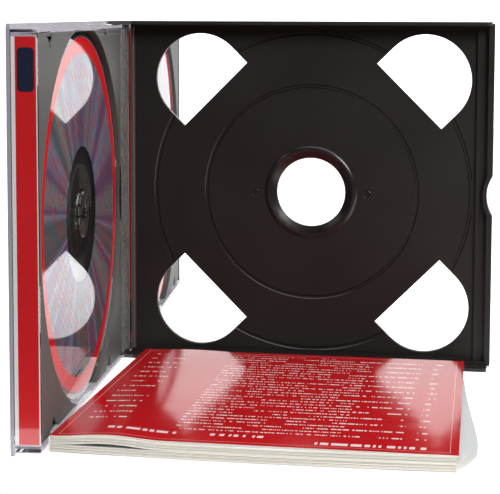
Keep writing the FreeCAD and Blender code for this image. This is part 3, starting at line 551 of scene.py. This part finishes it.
def disc_print_material():
    """Mirror layer with a printed ring and broken rules in red, and a faint painted rainbow sheen."""
    material, graph, shader = new_material("disc_print")
    _, x, _, z = graph.place()
    radius = graph.length(x, z)
    size, tone = sizes(), colours()
    ring = graph.between(radius, size.ring_inside, size.ring_outside, 0.08 * MM)
    cos, sin = math.cos(DISC_ROWS_SLANT), math.sin(DISC_ROWS_SLANT)
    along = graph.math("ADD", graph.math("MULTIPLY", x, cos), graph.math("MULTIPLY", z, sin))
    across = graph.math("SUBTRACT", graph.math("MULTIPLY", z, cos), graph.math("MULTIPLY", x, sin))
    rules = graph.add("ShaderNodeGroup", {"Along": along, "Across": across, **DISC_ROWS},
                      node_tree=rows_group())
    margin = 3 * MM
    field = graph.between(radius, size.disc_clear + margin, size.ring_inside - margin, 0.5 * MM)
    rows = graph.math("MULTIPLY", graph.math("MULTIPLY", rules.outputs[0], field), 0.65)
    ink = graph.math("MAXIMUM", ring, rows)
    # Painted rainbow sheen: colours fanned round the disc, put in the mirror's own colour
    spoke = graph.add("ShaderNodeCombineXYZ", {0: graph.math("DIVIDE", x, radius),
                                               2: graph.math("DIVIDE", z, radius)})
    sweep = graph.add("ShaderNodeTexNoise", {"Vector": spoke.outputs[0], "Scale": 2.3, "Detail": 1.0})
    rainbow_sheen = graph.add("ShaderNodeValToRGB", {0: sweep.outputs[0]})
    stops = rainbow_sheen.color_ramp.elements
    stops[0].position, stops[0].color = SHEEN_START, rgba(tone.silver)
    stops[1].position, stops[1].color = SHEEN_END, rgba(tone.silver)
    for at, factors in PAINTED_RAINBOW_SHEEN:
        stops.new(at).color = rgba([channel * factor for channel, factor in zip(tone.silver, factors)])
    base = graph.mix(rows, rainbow_sheen.outputs[0], rgba(tinted(tone.red, 0.6)))
    base = graph.mix(ring, base, rgba(tinted(tone.red, 1.15)))
    link(graph, base, shader, "Base Color")
    link(graph, graph.ramp(ink, 0.0, 1.0, 0.35, 0.0), shader, "Metallic")
    link(graph, graph.ramp(ink, 0.0, 1.0, 0.03, 0.05), shader, "Roughness")
    shader.inputs["Specular IOR Level"].default_value = 0.36
    return material


def paper_material(name, colour, roughness=0.8):
    material, graph, shader = new_material(name)
    vector, *_ = graph.place()
    group = graph.add("ShaderNodeGroup", node_tree=grain_group())
    graph.tree.links.new(vector, group.inputs["Vector"])
    group.inputs["Grain size"].default_value = 0.25 * MM
    base = graph.mix(group.outputs["Patches"], rgba(tinted(colour, 0.93)), rgba(tinted(colour, 1.05)))
    link(graph, base, shader, "Base Color")
    shader.inputs["Roughness"].default_value = roughness
    bump(graph, shader, group.outputs["Height"], 0.01 * MM)
    return material


def page_material():
    """Cut page edges: fine level streaks over cream paper."""
    material, graph, shader = new_material("page_edges")
    vector, *_ = graph.place()
    stretched = graph.add("ShaderNodeMapping", {"Vector": vector, "Scale": (20.0, 20.0, 5000.0)})
    streaks = graph.add("ShaderNodeTexNoise", {"Vector": stretched.outputs[0], "Scale": 1.0, "Detail": 3.0})
    level = graph.ramp(streaks.outputs[0], 0.35, 0.65)
    cream = colours().cream
    base = graph.mix(level, rgba(tinted(cream, 0.82)), rgba(tinted(cream, 1.06)))
    link(graph, base, shader, "Base Color")
    shader.inputs["Roughness"].default_value = 0.85
    bump(graph, shader, streaks.outputs[0], 0.02 * MM)
    return material


def spine_material():
    """Printed card: red with a white border and a navy field at the head of the spine."""
    material, graph, shader = new_material("card_print")
    vector, _, y, z = graph.place()
    size, tone, soft = sizes(), colours(), 0.05 * MM
    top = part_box("front_inlay_card")[1].z - BOX_HALF
    facing = graph.add("ShaderNodeSeparateXYZ", {0: graph.add("ShaderNodeTexCoord").outputs["Normal"]})
    on_side = graph.math("GREATER_THAN", graph.math("ABSOLUTE", facing.outputs[0]), FACES_ALONG)
    depth = graph.between(y, size.spine_low, size.spine_high, soft)
    depth = graph.math("MAXIMUM", depth, graph.math("SUBTRACT", 1.0, on_side))
    tall = graph.between(z, -top + size.print_margin, top - size.print_margin, soft)
    printed = graph.math("MULTIPLY", depth, tall)
    gloss = graph.add("ShaderNodeTexNoise", {"Vector": vector, "Scale": 40.0, "Detail": 2.0})
    red = graph.mix(gloss.outputs[0], rgba(tinted(tone.red, 0.94)), rgba(tinted(tone.red, 1.08)))

    def past(value, centre, half):
        """How far a point is past the straight part of the navy field's half."""
        off = graph.math("ABSOLUTE", graph.math("SUBTRACT", value, centre))
        return graph.math("MAXIMUM", graph.math("SUBTRACT", off, half - size.field_corner), 0.0)

    reach = graph.length(past(y, (size.spine_low + size.spine_high) / 2, size.field_half_wide),
                         past(z, top - size.field_drop, size.field_half_tall))
    inside = graph.ramp(reach, size.field_corner - soft, size.field_corner + soft, 1.0, 0.0)
    base = graph.mix(graph.math("MULTIPLY", inside, on_side), red, rgba(tone.navy))
    base = graph.mix(printed, rgba(tone.white), base)
    link(graph, base, shader, "Base Color")
    link(graph, graph.ramp(gloss.outputs[0], 0.3, 0.7, 0.24, 0.3), shader, "Roughness")
    return material


def cover_material():
    """Glossy red cover with thin rules inside its edges and rows of broken rules."""
    material, graph, shader = new_material("booklet_print")
    vector, x, y, _ = graph.place()
    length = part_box("booklet_cover_bottom")[1].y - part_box("booklet_cover_bottom")[0].y
    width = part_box("booklet_cover_bottom")[1].x - FOLD_X
    size, tone = sizes(), colours()
    down = graph.math("MULTIPLY", y, -1.0)
    near = graph.math("SUBTRACT", length, down)

    def rules_of(block):
        rules = graph.add("ShaderNodeGroup", {
            "Along": x, "Across": near, "Pitch": block.pitch * MM, "Height": block.height * MM,
            "Stroke": block.stroke * MM, "Word": block.word * MM, "Seed": block.seed,
            "Gaps": block.gaps}, node_tree=rows_group())
        area = graph.math("MULTIPLY", graph.between(x, block.left * MM, block.right * MM, 0.02 * MM),
                          graph.between(near, block.first * MM, block.last * MM, 0.02 * MM))
        return graph.math("MULTIPLY", rules.outputs[0], area)

    text = rules_of(COVER_BLOCKS[0])
    for block in COVER_BLOCKS[1:]:
        text = graph.math("MAXIMUM", text, rules_of(block))
    lean = graph.math("MULTIPLY", graph.math("DIVIDE", near, length), size.book_lean)
    from_right = graph.math("SUBTRACT", graph.math("SUBTRACT", width, lean), x)
    inset = graph.math("MINIMUM", graph.math("MINIMUM", near, down), graph.math("MINIMUM", x, from_right))
    rule = graph.between(inset, size.rule_inset, size.rule_inset + size.rule_width, 0.04 * MM)
    gloss = graph.add("ShaderNodeTexNoise", {"Vector": vector, "Scale": 18.0, "Detail": 3.0})
    red = graph.mix(gloss.outputs[0], rgba(tinted(tone.red, 0.6)), rgba(tinted(tone.red, 0.7)))
    base = graph.mix(graph.math("MULTIPLY", rule, 0.4), red, rgba(tone.white))
    base = graph.mix(graph.math("MULTIPLY", text, 0.7), base, rgba(tone.white))
    link(graph, base, shader, "Base Color")
    link(graph, graph.ramp(gloss.outputs[0], 0.35, 0.65, 0.09, 0.16), shader, "Roughness")
    shader.inputs["Specular IOR Level"].default_value = 0.22
    bump(graph, shader, gloss.outputs[0], 0.25 * MM)
    return material


def steel_material():
    material, graph, shader = new_material("staple_wire")
    vector, *_ = graph.place()
    drawn = graph.add("ShaderNodeTexNoise", {"Vector": vector, "Scale": 900.0})
    link(graph, graph.ramp(drawn.outputs[0], 0.3, 0.7, 0.25, 0.4), shader, "Roughness")
    shader.inputs["Base Color"].default_value = (0.55, 0.55, 0.53, 1)
    shader.inputs["Metallic"].default_value = 1.0
    return material


def material(name):
    """A material by name, made the first time that it is asked for."""
    found = bpy.data.materials.get("finish_" + name)
    if found:
        return found
    tone = colours()
    makers = {
        "black_plastic": lambda: moulded("black_plastic", tone.black, 0.3 * MM, 0.012 * MM, 0.5,
                                         specular=0.4),
        "grey_plastic": lambda: moulded("grey_plastic", tone.grey, 0.22 * MM, 0.006 * MM, 0.5),
        # The hinge band gets stronger painted glints and painted highlights on its coarse grain
        "grey_band": lambda: moulded("grey_band", tinted(tone.grey, 1.25), 1.3 * MM, 0.3 * MM, 0.5,
                                     variety=0.2, glint=0.6, peak_light=0.8),
        "black_gloss": lambda: moulded("black_gloss", tone.black, 0.6 * MM, 0.006 * MM, 0.24),
        "black_rail": lambda: moulded("black_rail", tone.rail, 0.6 * MM, 0.004 * MM, 0.4),
        # Painted shade: the hub's middle is the trays' grey plastic darkened in its colour, and glossier
        "grey_smooth_shaded": lambda: moulded("grey_smooth_shaded", tinted(tone.grey, 0.45), 0.6 * MM, 0.01 * MM, 0.14,
                                       variety=0.2),
        "clear_plastic": clear_material,
        # Painted shade: the end faces of the clear walls get a dark tint and little transmission
        "clear_end_shade": lambda: wall_end_shade_material("clear_end_shade", tone.clear_edge_shade),
        # Painted shade: the rim of the clear hinge wall gets the rail's dark brown, a shadow line along the
        # hinge
        "clear_rim_shade": lambda: wall_end_shade_material("clear_rim_shade", tone.rail),
        "disc_clear": disc_clear_material,
        "disc_print": disc_print_material,
        "card_print": spine_material,
        "card_back": lambda: paper_material("card_back", tone.white),
        "card_inside": lambda: paper_material("card_inside", tinted(tone.white, 0.05)),
        "booklet_print": cover_material,
        "booklet_plain": lambda: paper_material("booklet_plain", tone.red, 0.2),
        "page_edges": page_material,
        "page_face": lambda: paper_material("page_face", tone.page),
        "staple_wire": steel_material,
    }
    return makers[name]()


# Mesh building

# Points closer than this are merged
MERGE_DISTANCE = 1e-6
# Faces are merged below the first angle, shaded sharp above the next three, and rounded above the last
MERGE_ANGLE = math.radians(0.5)
SHARP_CAD, SHARP_RING, SHARP_SHEET = math.radians(28), math.radians(30), math.radians(35)
BEVEL_ANGLE = math.radians(40)
# Sides of a sheet carry this material, its two faces the first one
SHEET_EDGE = 1


def show(name, mesh, place, body, nodes, materials):
    """Put a new piece in its place, give it its materials and let it stand for CAD nodes."""
    piece = bpy.data.objects.new(name, mesh)
    bpy.context.scene.collection.objects.link(piece)
    for each in materials:
        mesh.materials.append(material(each))
    piece.matrix_world = place
    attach(piece, body)
    if nodes:
        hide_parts(*nodes)
    return piece


def eased(node, place, body, materials, choose=None, ease=None, inset=0.0, cuts=()):
    """A CAD piece redrawn in its own coordinates with its edges eased. cuts are (point, normal) planes
    that divide its faces, so that one face can carry two materials."""
    edit = bmesh.new()
    edit.from_mesh(FRAME["nodes"][node].data)
    edit.transform(place.inverted())
    bmesh.ops.remove_doubles(edit, verts=edit.verts, dist=MERGE_DISTANCE)
    bmesh.ops.dissolve_limit(edit, angle_limit=MERGE_ANGLE, verts=edit.verts, edges=edit.edges)
    for point, normal in cuts:
        bmesh.ops.bisect_plane(edit, geom=[*edit.verts, *edit.edges, *edit.faces], plane_co=point,
                               plane_no=normal)
    edit.normal_update()
    for face in edit.faces:
        face.smooth = True
        if choose:
            face.material_index = choose(face)
    if inset:
        middle = sum((vertex.co for vertex in edit.verts), Vector()) / len(edit.verts)
        for vertex in edit.verts:
            vertex.co.x -= math.copysign(inset, vertex.co.x - middle.x)
            vertex.co.z -= math.copysign(inset, vertex.co.z - middle.z)
            vertex.co.y += inset
    mesh = bpy.data.meshes.new(node + "_finished")
    edit.to_mesh(mesh)
    edit.free()
    piece = show(node + "_finished", mesh, place, body, [node], materials)
    mesh.set_sharp_from_angle(angle=SHARP_CAD)
    round_off = piece.modifiers.new("eased_edges", "BEVEL")
    round_off.width = sizes().edge_ease if ease is None else ease
    round_off.segments = 2
    round_off.limit_method = "ANGLE"
    round_off.angle_limit = BEVEL_ANGLE
    round_off.miter_outer = "MITER_ARC"
    flatten = piece.modifiers.new("flat_faces_stay_flat", "WEIGHTED_NORMAL")
    flatten.keep_sharp = True
    flatten.weight = 100


def lathe(name, profile, steps):
    """A closed ring turned about the local Y axis. A profile point is (radius, y, material)."""
    edit = bmesh.new()
    rings = []
    for radius, y, _ in profile:
        rings.append([edit.verts.new((radius * math.cos(turn), y, radius * math.sin(turn)))
                      for turn in (2 * math.pi * step / steps for step in range(steps))])
    for index, ring in enumerate(rings):
        after = rings[(index + 1) % len(rings)]
        for step in range(steps):
            other = (step + 1) % steps
            face = edit.faces.new((ring[step], ring[other], after[other], after[step]))
            face.material_index = profile[index][2]
            face.smooth = True
    bmesh.ops.recalc_face_normals(edit, faces=edit.faces)
    mesh = bpy.data.meshes.new(name)
    edit.to_mesh(mesh)
    edit.free()
    mesh.set_sharp_from_angle(angle=SHARP_RING)
    return mesh


def slab(name, across, along, point, thick):
    """A closed sheet over a grid of across by along cells. point gives a place for (u, v, rise)."""
    edit = bmesh.new()

    def layer(rise):
        return [[edit.verts.new(point(i / across, j / along, rise)) for i in range(across + 1)]
                for j in range(along + 1)]

    upper, lower = layer(thick), layer(0.0)
    for j in range(along):
        for i in range(across):
            edit.faces.new((upper[j][i], upper[j][i + 1], upper[j + 1][i + 1], upper[j + 1][i]))
            edit.faces.new((lower[j][i], lower[j + 1][i], lower[j + 1][i + 1], lower[j][i + 1]))
    rim = [(0, i) for i in range(across)] + [(j, across) for j in range(along)]
    rim += [(along, i) for i in range(across, 0, -1)] + [(j, 0) for j in range(along, 0, -1)]
    for (j, i), (jj, ii) in zip(rim, rim[1:] + rim[:1]):
        face = edit.faces.new((upper[j][i], lower[j][i], lower[jj][ii], upper[jj][ii]))
        face.material_index = SHEET_EDGE
    bmesh.ops.recalc_face_normals(edit, faces=edit.faces)
    for face in edit.faces:
        face.smooth = face.material_index == 0
    mesh = bpy.data.meshes.new(name)
    edit.to_mesh(mesh)
    edit.free()
    mesh.set_sharp_from_angle(angle=SHARP_SHEET)
    return mesh


def smooth(value, low, high):
    """A smooth step from 0 to 1 as value goes from low to high."""
    share = min(1.0, max(0.0, (value - low) / (high - low)))
    return share * share * (3 - 2 * share)


# Booklet shape, in its own coordinates: x from the fold, y from the far end (negative towards the camera)

# How far the lowest pages stand out, as a share of the fan, from the far end to the near one
PAGE_FAN = (
    (0.0, 0.04), (0.3, 0.36), (0.52, 0.68), (0.68, 0.92),
    (0.78, 1.0), (0.88, 0.9), (0.95, 0.42), (1.0, 0.0),
)
# The fan fades out upwards, this many times faster than the block is high
FAN_FADE = 1.9
# The upper pages rise over the slack fold between these places, and from this share up at the far end
SLACK_START, SLACK_WIDTH, SLACK_FAR = 1.0 * MM, 34 * MM, 0.35
# Pages above this share of the block rise with the cover
GAP_LEVEL = 0.52
# Pages below and above these shares start further from the fold
INNER_LOW, INNER_HIGH, INNER_STEP = 0.12, 0.95, 0.35 * MM
# Clearances of the pages from the fold, and of each layer from what is under it
FOLD_CLEAR, LAYER_LIFT = 0.12 * MM, 0.02 * MM
# Uneven layers: seed, how far their near edges are shifted in mm, and how much of their pitch they fill
PAGE_SEED, PAGE_SHIFT = 11, 0.25
FILL_LEAST, FILL_MOST = 0.78, 0.92
# The near edge bows out over the last part of the pages, and a little less in the upper half
BOW_START, BOW_SHARE, BOW_UPPER = 0.6, 0.9, 0.9
# Pages are shorter than the covers by this many of their far margins
PAGE_MARGINS = 1.4
# Cells across and along each page layer and the top cover
PAGE_GRID, COVER_GRID = (26, 22), (48, 32)


class Book:
    """The booklet's sizes, read from the frame."""

    def __init__(self):
        low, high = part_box("booklet_cover_bottom")
        self.width = high.x - low.x
        self.length = high.y - low.y
        self.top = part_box("booklet_cover_top")[1].z
        self.cover = self.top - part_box("booklet_cover_top")[0].z
        pages_low, pages_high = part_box("booklet_pages")
        self.page_left = max(0.05 * MM, pages_low.x - low.x - 0.5 * MM)
        self.page_low, self.page_high = pages_low.z, pages_high.z
        self.short = high.y - pages_high.y
        self.lean = sizes().book_lean

    def cover_right(self, v):
        """Free edge of the cover, which leans in towards the far end."""
        return self.width - self.lean * (1 - v)

    def bulge(self, x, y):
        """Rise of the upper pages and the cover over the slack fold."""
        reach = math.sin(math.pi * min(1, max(0, (x - SLACK_START) / SLACK_WIDTH))) ** 2
        near = smooth(-y, SLACK_FAR * self.length, self.length)
        return sizes().page_bulge * reach * (SLACK_FAR + (1 - SLACK_FAR) * near)

    def page_right(self, level, v):
        """Free edge of a page layer. level 0 is the lowest, v runs from the far to the near end."""
        out = sizes().page_fan * max(0.0, 1 - level * FAN_FADE)
        for (low, start), (high, end) in zip(PAGE_FAN, PAGE_FAN[1:]):
            if v <= high:
                share = start + (end - start) * (v - low) / (high - low)
                break
        return self.cover_right(v) - self.short + out * share

    def near_edge(self, x, level):
        """How far the near edge of a page layer bows out."""
        share = x / self.width
        return sizes().page_bow * 4 * share * (1 - share) * (1.0 if level < 0.5 else BOW_UPPER)


# Operators: one for each piece or group of like pieces

class DISCBOX_OT_centre_frame(bpy.types.Operator):
    """Finish the black centre frame"""
    bl_idname = "disc_box.centre_frame"
    bl_label = "Centre Frame"

    def execute(self, context):
        size = sizes()

        def finish(face):
            """Gloss on the grooves and the collar, the rail's own colour on the rail."""
            middle = face.calc_center_median()
            flat = abs(face.normal.y) >= 0.97
            if not flat and math.hypot(middle.x, middle.z) < size.disc_radius:
                return 1
            return 2 if middle.x < size.rail_end and abs(face.normal.z) < 0.5 else 0

        eased("centre_frame", box_place(), "root",
              ["black_plastic", "black_gloss", "black_rail"], finish)
        wire, rim = size.dimple_rim, 8
        turns = [2 * math.pi * step / rim for step in range(rim)]
        profile = [(size.dimple_radius + wire * math.cos(turn), wire * math.sin(turn), 0) for turn in turns]
        for name, across in (("left", -size.dimple_out), ("right", size.dimple_out)):
            ring = lathe("dimple_rim_" + name, profile, 40)
            at = box_place() @ Matrix.Translation((across, -size.plate_half, -size.dimple_drop))
            show("dimple_rim_" + name, ring, at, "root", [], ["black_gloss"])
        return {"FINISHED"}


class DISCBOX_OT_cases(bpy.types.Operator):
    """Finish the two clear shells"""
    bl_idname = "disc_box.cases"
    bl_label = "Clear Cases"

    def execute(self, context):
        size = sizes()
        side_inside = BOX_HALF - size.side_wall

        def wall(face):
            """End faces of the broad wall and the side walls, then the rim of the hinge wall; both carry
            painted shade.
            """
            middle = face.calc_center_median()
            in_wall = middle.y < size.wall_inside or abs(middle.z) > side_inside
            if in_wall and abs(face.normal.x) > FACES_ALONG:
                return 1
            # Painted shadow line on the rim of the hinge wall, down to the given depth
            rim = middle.x < -BOX_HALF and middle.y > size.rim_shade_depth
            return 2 if rim and face.normal.y > FACES_ALONG else 0

        cuts = [((0, size.wall_inside, 0), (0, 1, 0)), ((-BOX_HALF, 0, 0), (1, 0, 0)),
                ((0, 0, side_inside), (0, 0, 1)), ((0, 0, -side_inside), (0, 0, 1))]
        for side in ("front", "rear"):
            eased(side + "_case", leaf_place(side), side + "_leaf",
                  ["clear_plastic", "clear_end_shade", "clear_rim_shade"], wall, cuts=cuts)
        return {"FINISHED"}


class DISCBOX_OT_cards(bpy.types.Operator):
    """Finish the two printed inlay cards"""
    bl_idname = "disc_box.cards"
    bl_label = "Inlay Cards"

    def execute(self, context):
        along, broad_area = 0.9, (50 * MM) ** 2

        def outside(face):
            """Print outside, a near-black colour on the inner faces, plain card on the thin edges."""
            folded = abs(face.normal.x) > along
            outwards = face.normal.x * face.calc_center_median().x > 0
            if (folded and outwards) or face.normal.y < -along:
                return 0
            broad = face.normal.y > along and face.calc_area() > broad_area
            return 2 if broad or folded else 1

        for side in ("front", "rear"):
            eased(side + "_inlay_card", leaf_place(side), side + "_leaf",
                  ["card_print", "card_back", "card_inside"], outside, ease=0.04 * MM, inset=0.03 * MM)
        return {"FINISHED"}


class DISCBOX_OT_trays(bpy.types.Operator):
    """Finish the two grey disc trays"""
    bl_idname = "disc_box.trays"
    bl_label = "Disc Trays"

    def execute(self, context):
        size = sizes()

        def band(face):
            """Coarse grain on the hinge band, a smooth middle of the hub with painted shade."""
            middle = face.calc_center_median()
            if math.hypot(middle.x, middle.z) < size.hub_smooth_shaded:
                return 2
            return 1 if middle.x < size.band_end and face.normal.y > 0.9 else 0

        for side in ("front", "rear"):
            eased(side + "_tray", leaf_place(side), side + "_leaf",
                  ["grey_plastic", "grey_band", "grey_smooth_shaded"], band)
        return {"FINISHED"}


class DISCBOX_OT_discs(bpy.types.Operator):
    """Draw the two discs with their clear centre, mirror and printed ring"""
    bl_idname = "disc_box.discs"
    bl_label = "Discs"

    def execute(self, context):
        size = sizes()
        outer, hole, edge = size.disc_radius, size.disc_hole, size.disc_bevel
        face, back = size.disc_face, size.disc_back
        mirror_end = size.ring_outside + 0.4 * MM
        profile = [
            (hole + edge / 2, face, 1), (size.disc_clear, face, 0), (mirror_end, face, 1),
            (outer - edge, face, 1), (outer, face - edge, 1), (outer, back + edge, 1),
            (outer - edge, back, 1), (mirror_end, back, 0), (size.disc_clear, back, 1),
            (hole + edge / 2, back, 1), (hole, back + edge / 2, 1), (hole, face - edge / 2, 1),
        ]
        for side in ("front", "rear"):
            mesh = lathe(side + "_disc_finished", profile, 160)
            show(side + "_disc_finished", mesh, leaf_place(side), side + "_leaf",
                 [side + "_disc"], ["disc_print", "disc_clear"])
        return {"FINISHED"}


class DISCBOX_OT_pages(bpy.types.Operator):
    """Draw the page block in layers, fanned at its near right corner"""
    bl_idname = "disc_box.pages"
    bl_label = "Pages"

    def execute(self, context):
        book = Book()
        size = sizes()
        draw = random.Random(PAGE_SEED)
        count = size.page_count
        pitch = (book.page_high - book.page_low) / count
        left = book.page_left + FOLD_CLEAR
        group = bmesh.new()
        for number in range(count):
            level = (number + 0.5) / count
            shift = draw.uniform(-PAGE_SHIFT, PAGE_SHIFT) * MM
            thick = pitch * draw.uniform(FILL_LEAST, FILL_MOST)
            inner = left if INNER_LOW < level < INNER_HIGH else left + INNER_STEP

            def point(u, v, rise, level=level, shift=shift, inner=inner, number=number):
                right = book.page_right(level, v)
                x = inner + (right - inner) * u
                y = -book.short - (book.length - book.short * PAGE_MARGINS) * v
                y -= (book.near_edge(x, level) * BOW_SHARE + shift) * smooth(v, BOW_START, 1.0)
                z = book.page_low + pitch * number + LAYER_LIFT + rise
                if level > GAP_LEVEL:
                    z += book.bulge(x, y)
                return Vector((x, y, z))

            mesh = slab("layer", *PAGE_GRID, point, thick)
            group.from_mesh(mesh)
            bpy.data.meshes.remove(mesh)
        block = bpy.data.meshes.new("booklet_pages_finished")
        group.to_mesh(block)
        group.free()
        block.set_sharp_from_angle(angle=SHARP_SHEET)
        show("booklet_pages_finished", block, book_place(), "root",
             ["booklet_pages"], ["page_face", "page_edges"])
        return {"FINISHED"}


class DISCBOX_OT_covers(bpy.types.Operator):
    """Draw the booklet's two covers"""
    bl_idname = "disc_box.covers"
    bl_label = "Booklet Covers"

    def execute(self, context):
        book = Book()
        left = book.cover * 0.6

        def point(u, v, rise):
            x = left + (book.cover_right(v) - left) * u
            y = -book.length * v
            return Vector((x, y, book.top - book.cover + rise + book.bulge(x, y) + LAYER_LIFT))

        mesh = slab("booklet_cover_top_finished", *COVER_GRID, point, book.cover)
        show("booklet_cover_top_finished", mesh, book_place(), "booklet_cover",
             ["booklet_cover_top"], ["booklet_print", "page_edges"])

        def outside(face):
            """Print below and round the fold, plain card inside."""
            return 0 if min(face.normal.z, face.normal.x) < -0.3 else 1

        eased("booklet_cover_bottom", book_place(), "root",
              ["booklet_plain", "card_back"], outside, ease=0.04 * MM)
        return {"FINISHED"}


class DISCBOX_OT_staples(bpy.types.Operator):
    """Finish the two wire staples"""
    bl_idname = "disc_box.staples"
    bl_label = "Staples"

    def execute(self, context):
        eased("booklet_staples", book_place(), "root", ["staple_wire"],
              ease=0.12 * MM)
        return {"FINISHED"}


# Sheets of the stage: corners, shade, and glow in the picture
SIDE, FRONT, BACK, HEAD = 0.9, -0.175, 1.2, 1.2
SHEET_SHADE = 0.86
SHEETS = {
    "table": ([(-SIDE, FRONT, 0), (SIDE, FRONT, 0), (SIDE, BACK, 0), (-SIDE, BACK, 0)], 0.7),
    "backdrop": ([(-SIDE, BACK, 0), (SIDE, BACK, 0), (SIDE, BACK, HEAD), (-SIDE, BACK, HEAD)], 1.0),
}
# Lamps: place, target and size
LAMPS = {
    "overhead": ((0.1, -0.1, 1.0), (0, 0, 0), 1.1),
    "side_left": ((-0.9, -0.5, 0.6), (0, 0, 0.06), 0.5),
    "front_right": ((0.75, -1.0, 0.75), (0, 0, 0.06), 0.5),
}
# The surroundings are darker in front of the box and brighter behind it
AMBIENT_TURN, AMBIENT_FRONT, AMBIENT_BACK = 0.6, 0.15, 1.5
SENSOR = 36


class DISCBOX_OT_stage(bpy.types.Operator):
    """Set up the white table, the lamps and the camera"""
    bl_idname = "disc_box.stage"
    bl_label = "Stage"

    def execute(self, context):
        scene = context.scene
        scene.view_settings.view_transform = "Standard"
        settings = stage_settings()
        for name, (corners, glow) in SHEETS.items():
            self.sheet(name, corners, glow)
        self.world(scene, settings)
        for (name, place), power in zip(LAMPS.items(), (settings.overhead, settings.side, settings.front)):
            self.lamp(name, power, *place)
        self.camera(scene, settings)
        return {"FINISHED"}

    def sheet(self, name, corners, glow):
        """A white sheet that the camera, gloss and clear plastic see as plain white."""
        mesh = bpy.data.meshes.new(name)
        mesh.from_pydata([Vector(corner) for corner in corners], [], [(0, 1, 2, 3)])
        piece = bpy.data.objects.new(name, mesh)
        bpy.context.scene.collection.objects.link(piece)
        paint, graph, shader = new_material(name)
        path = graph.add("ShaderNodeLightPath")
        seen = graph.math("MAXIMUM", path.outputs["Is Camera Ray"],
                          graph.math("MAXIMUM", path.outputs["Is Glossy Ray"],
                                     path.outputs["Is Transmission Ray"]))
        unlit = graph.math("LESS_THAN", path.outputs["Diffuse Depth"], 0.5)
        seen = graph.math("MULTIPLY", seen, unlit)
        shader.inputs["Base Color"].default_value = (SHEET_SHADE, SHEET_SHADE, SHEET_SHADE, 1)
        shader.inputs["Roughness"].default_value = 0.9
        shader.inputs["Specular IOR Level"].default_value = 0.0
        shader.inputs["Emission Color"].default_value = (1, 1, 1, 1)
        link(graph, graph.math("MULTIPLY", seen, glow), shader, "Emission Strength")
        mesh.materials.append(paint)

    def world(self, scene, settings):
        world = bpy.data.worlds.new("studio")
        world.use_nodes = True
        scene.world = world
        graph = Graph(world.node_tree)
        background = world.node_tree.nodes["Background"]
        path = graph.add("ShaderNodeLightPath")
        direction = graph.add("ShaderNodeTexCoord").outputs["Generated"]
        split = graph.add("ShaderNodeSeparateXYZ", {0: direction})
        back = graph.ramp(split.outputs[1], -AMBIENT_TURN, AMBIENT_TURN, AMBIENT_FRONT, AMBIENT_BACK)
        level = graph.math("MULTIPLY", back, settings.ambient)
        plain = graph.math("MAXIMUM", path.outputs["Is Camera Ray"], path.outputs["Is Transmission Ray"])
        bounced = graph.math("ADD", path.outputs["Diffuse Depth"], path.outputs["Glossy Depth"])
        plain = graph.math("MULTIPLY", plain, graph.math("LESS_THAN", bounced, 0.5))
        elsewhere = graph.math("SUBTRACT", 1.0, plain)
        strength = graph.math("ADD", graph.math("MULTIPLY", level, elsewhere), plain)
        background.inputs["Color"].default_value = (1, 1, 1, 1)
        graph.tree.links.new(strength, background.inputs["Strength"])

    def lamp(self, name, power, at, target, size):
        data = bpy.data.lights.new(name, "AREA")
        data.energy, data.size = power, size
        piece = bpy.data.objects.new(name, data)
        bpy.context.scene.collection.objects.link(piece)
        piece.location = at
        piece.rotation_euler = (Vector(target) - Vector(at)).to_track_quat("-Z", "Y").to_euler()

    def camera(self, scene, settings):
        data = bpy.data.cameras.new("camera")
        data.sensor_width, data.lens, data.shift_y = SENSOR, settings.lens, settings.shift
        piece = bpy.data.objects.new("camera", data)
        scene.collection.objects.link(piece)
        turn = Matrix.Rotation(settings.yaw, 4, "Z") @ Matrix.Rotation(
            math.pi / 2 - settings.pitch, 4, "X") @ Matrix.Rotation(settings.roll, 4, "Z")
        piece.matrix_world = Matrix.Translation(settings.place) @ turn
        scene.camera = piece


GROUPS = (BoxSizes, FinishColours, StageSettings)
OPERATORS = (
    DISCBOX_OT_centre_frame, DISCBOX_OT_cases, DISCBOX_OT_cards, DISCBOX_OT_trays,
    DISCBOX_OT_discs, DISCBOX_OT_pages, DISCBOX_OT_covers, DISCBOX_OT_staples, DISCBOX_OT_stage,
)


class DISCBOX_PT_panel(bpy.types.Panel):
    """Lists every piece"""
    bl_label = "Disc Box"
    bl_idname = "DISCBOX_PT_panel"
    bl_space_type = "VIEW_3D"
    bl_region_type = "UI"
    bl_category = "Disc Box"

    def draw(self, context):
        for operator in OPERATORS:
            self.layout.operator(operator.bl_idname)
        for settings in (sizes(), colours(), stage_settings()):
            for name in settings.__annotations__:
                self.layout.prop(settings, name)


def register():
    for each in (*GROUPS, *OPERATORS, DISCBOX_PT_panel):
        bpy.utils.register_class(each)
    bpy.types.Scene.disc_box_sizes = PointerProperty(type=BoxSizes)
    bpy.types.Scene.disc_box_colours = PointerProperty(type=FinishColours)
    bpy.types.Scene.disc_box_stage = PointerProperty(type=StageSettings)


def unregister():
    del bpy.types.Scene.disc_box_stage
    del bpy.types.Scene.disc_box_colours
    del bpy.types.Scene.disc_box_sizes
    for each in reversed((*GROUPS, *OPERATORS, DISCBOX_PT_panel)):
        bpy.utils.unregister_class(each)


def main():
    register()
    bpy.ops.disc_box.centre_frame()
    bpy.ops.disc_box.cases()
    bpy.ops.disc_box.cards()
    bpy.ops.disc_box.trays()
    bpy.ops.disc_box.discs()
    bpy.ops.disc_box.pages()
    bpy.ops.disc_box.covers()
    bpy.ops.disc_box.staples()
    bpy.ops.disc_box.stage()


if __name__ == "__main__":
    main()
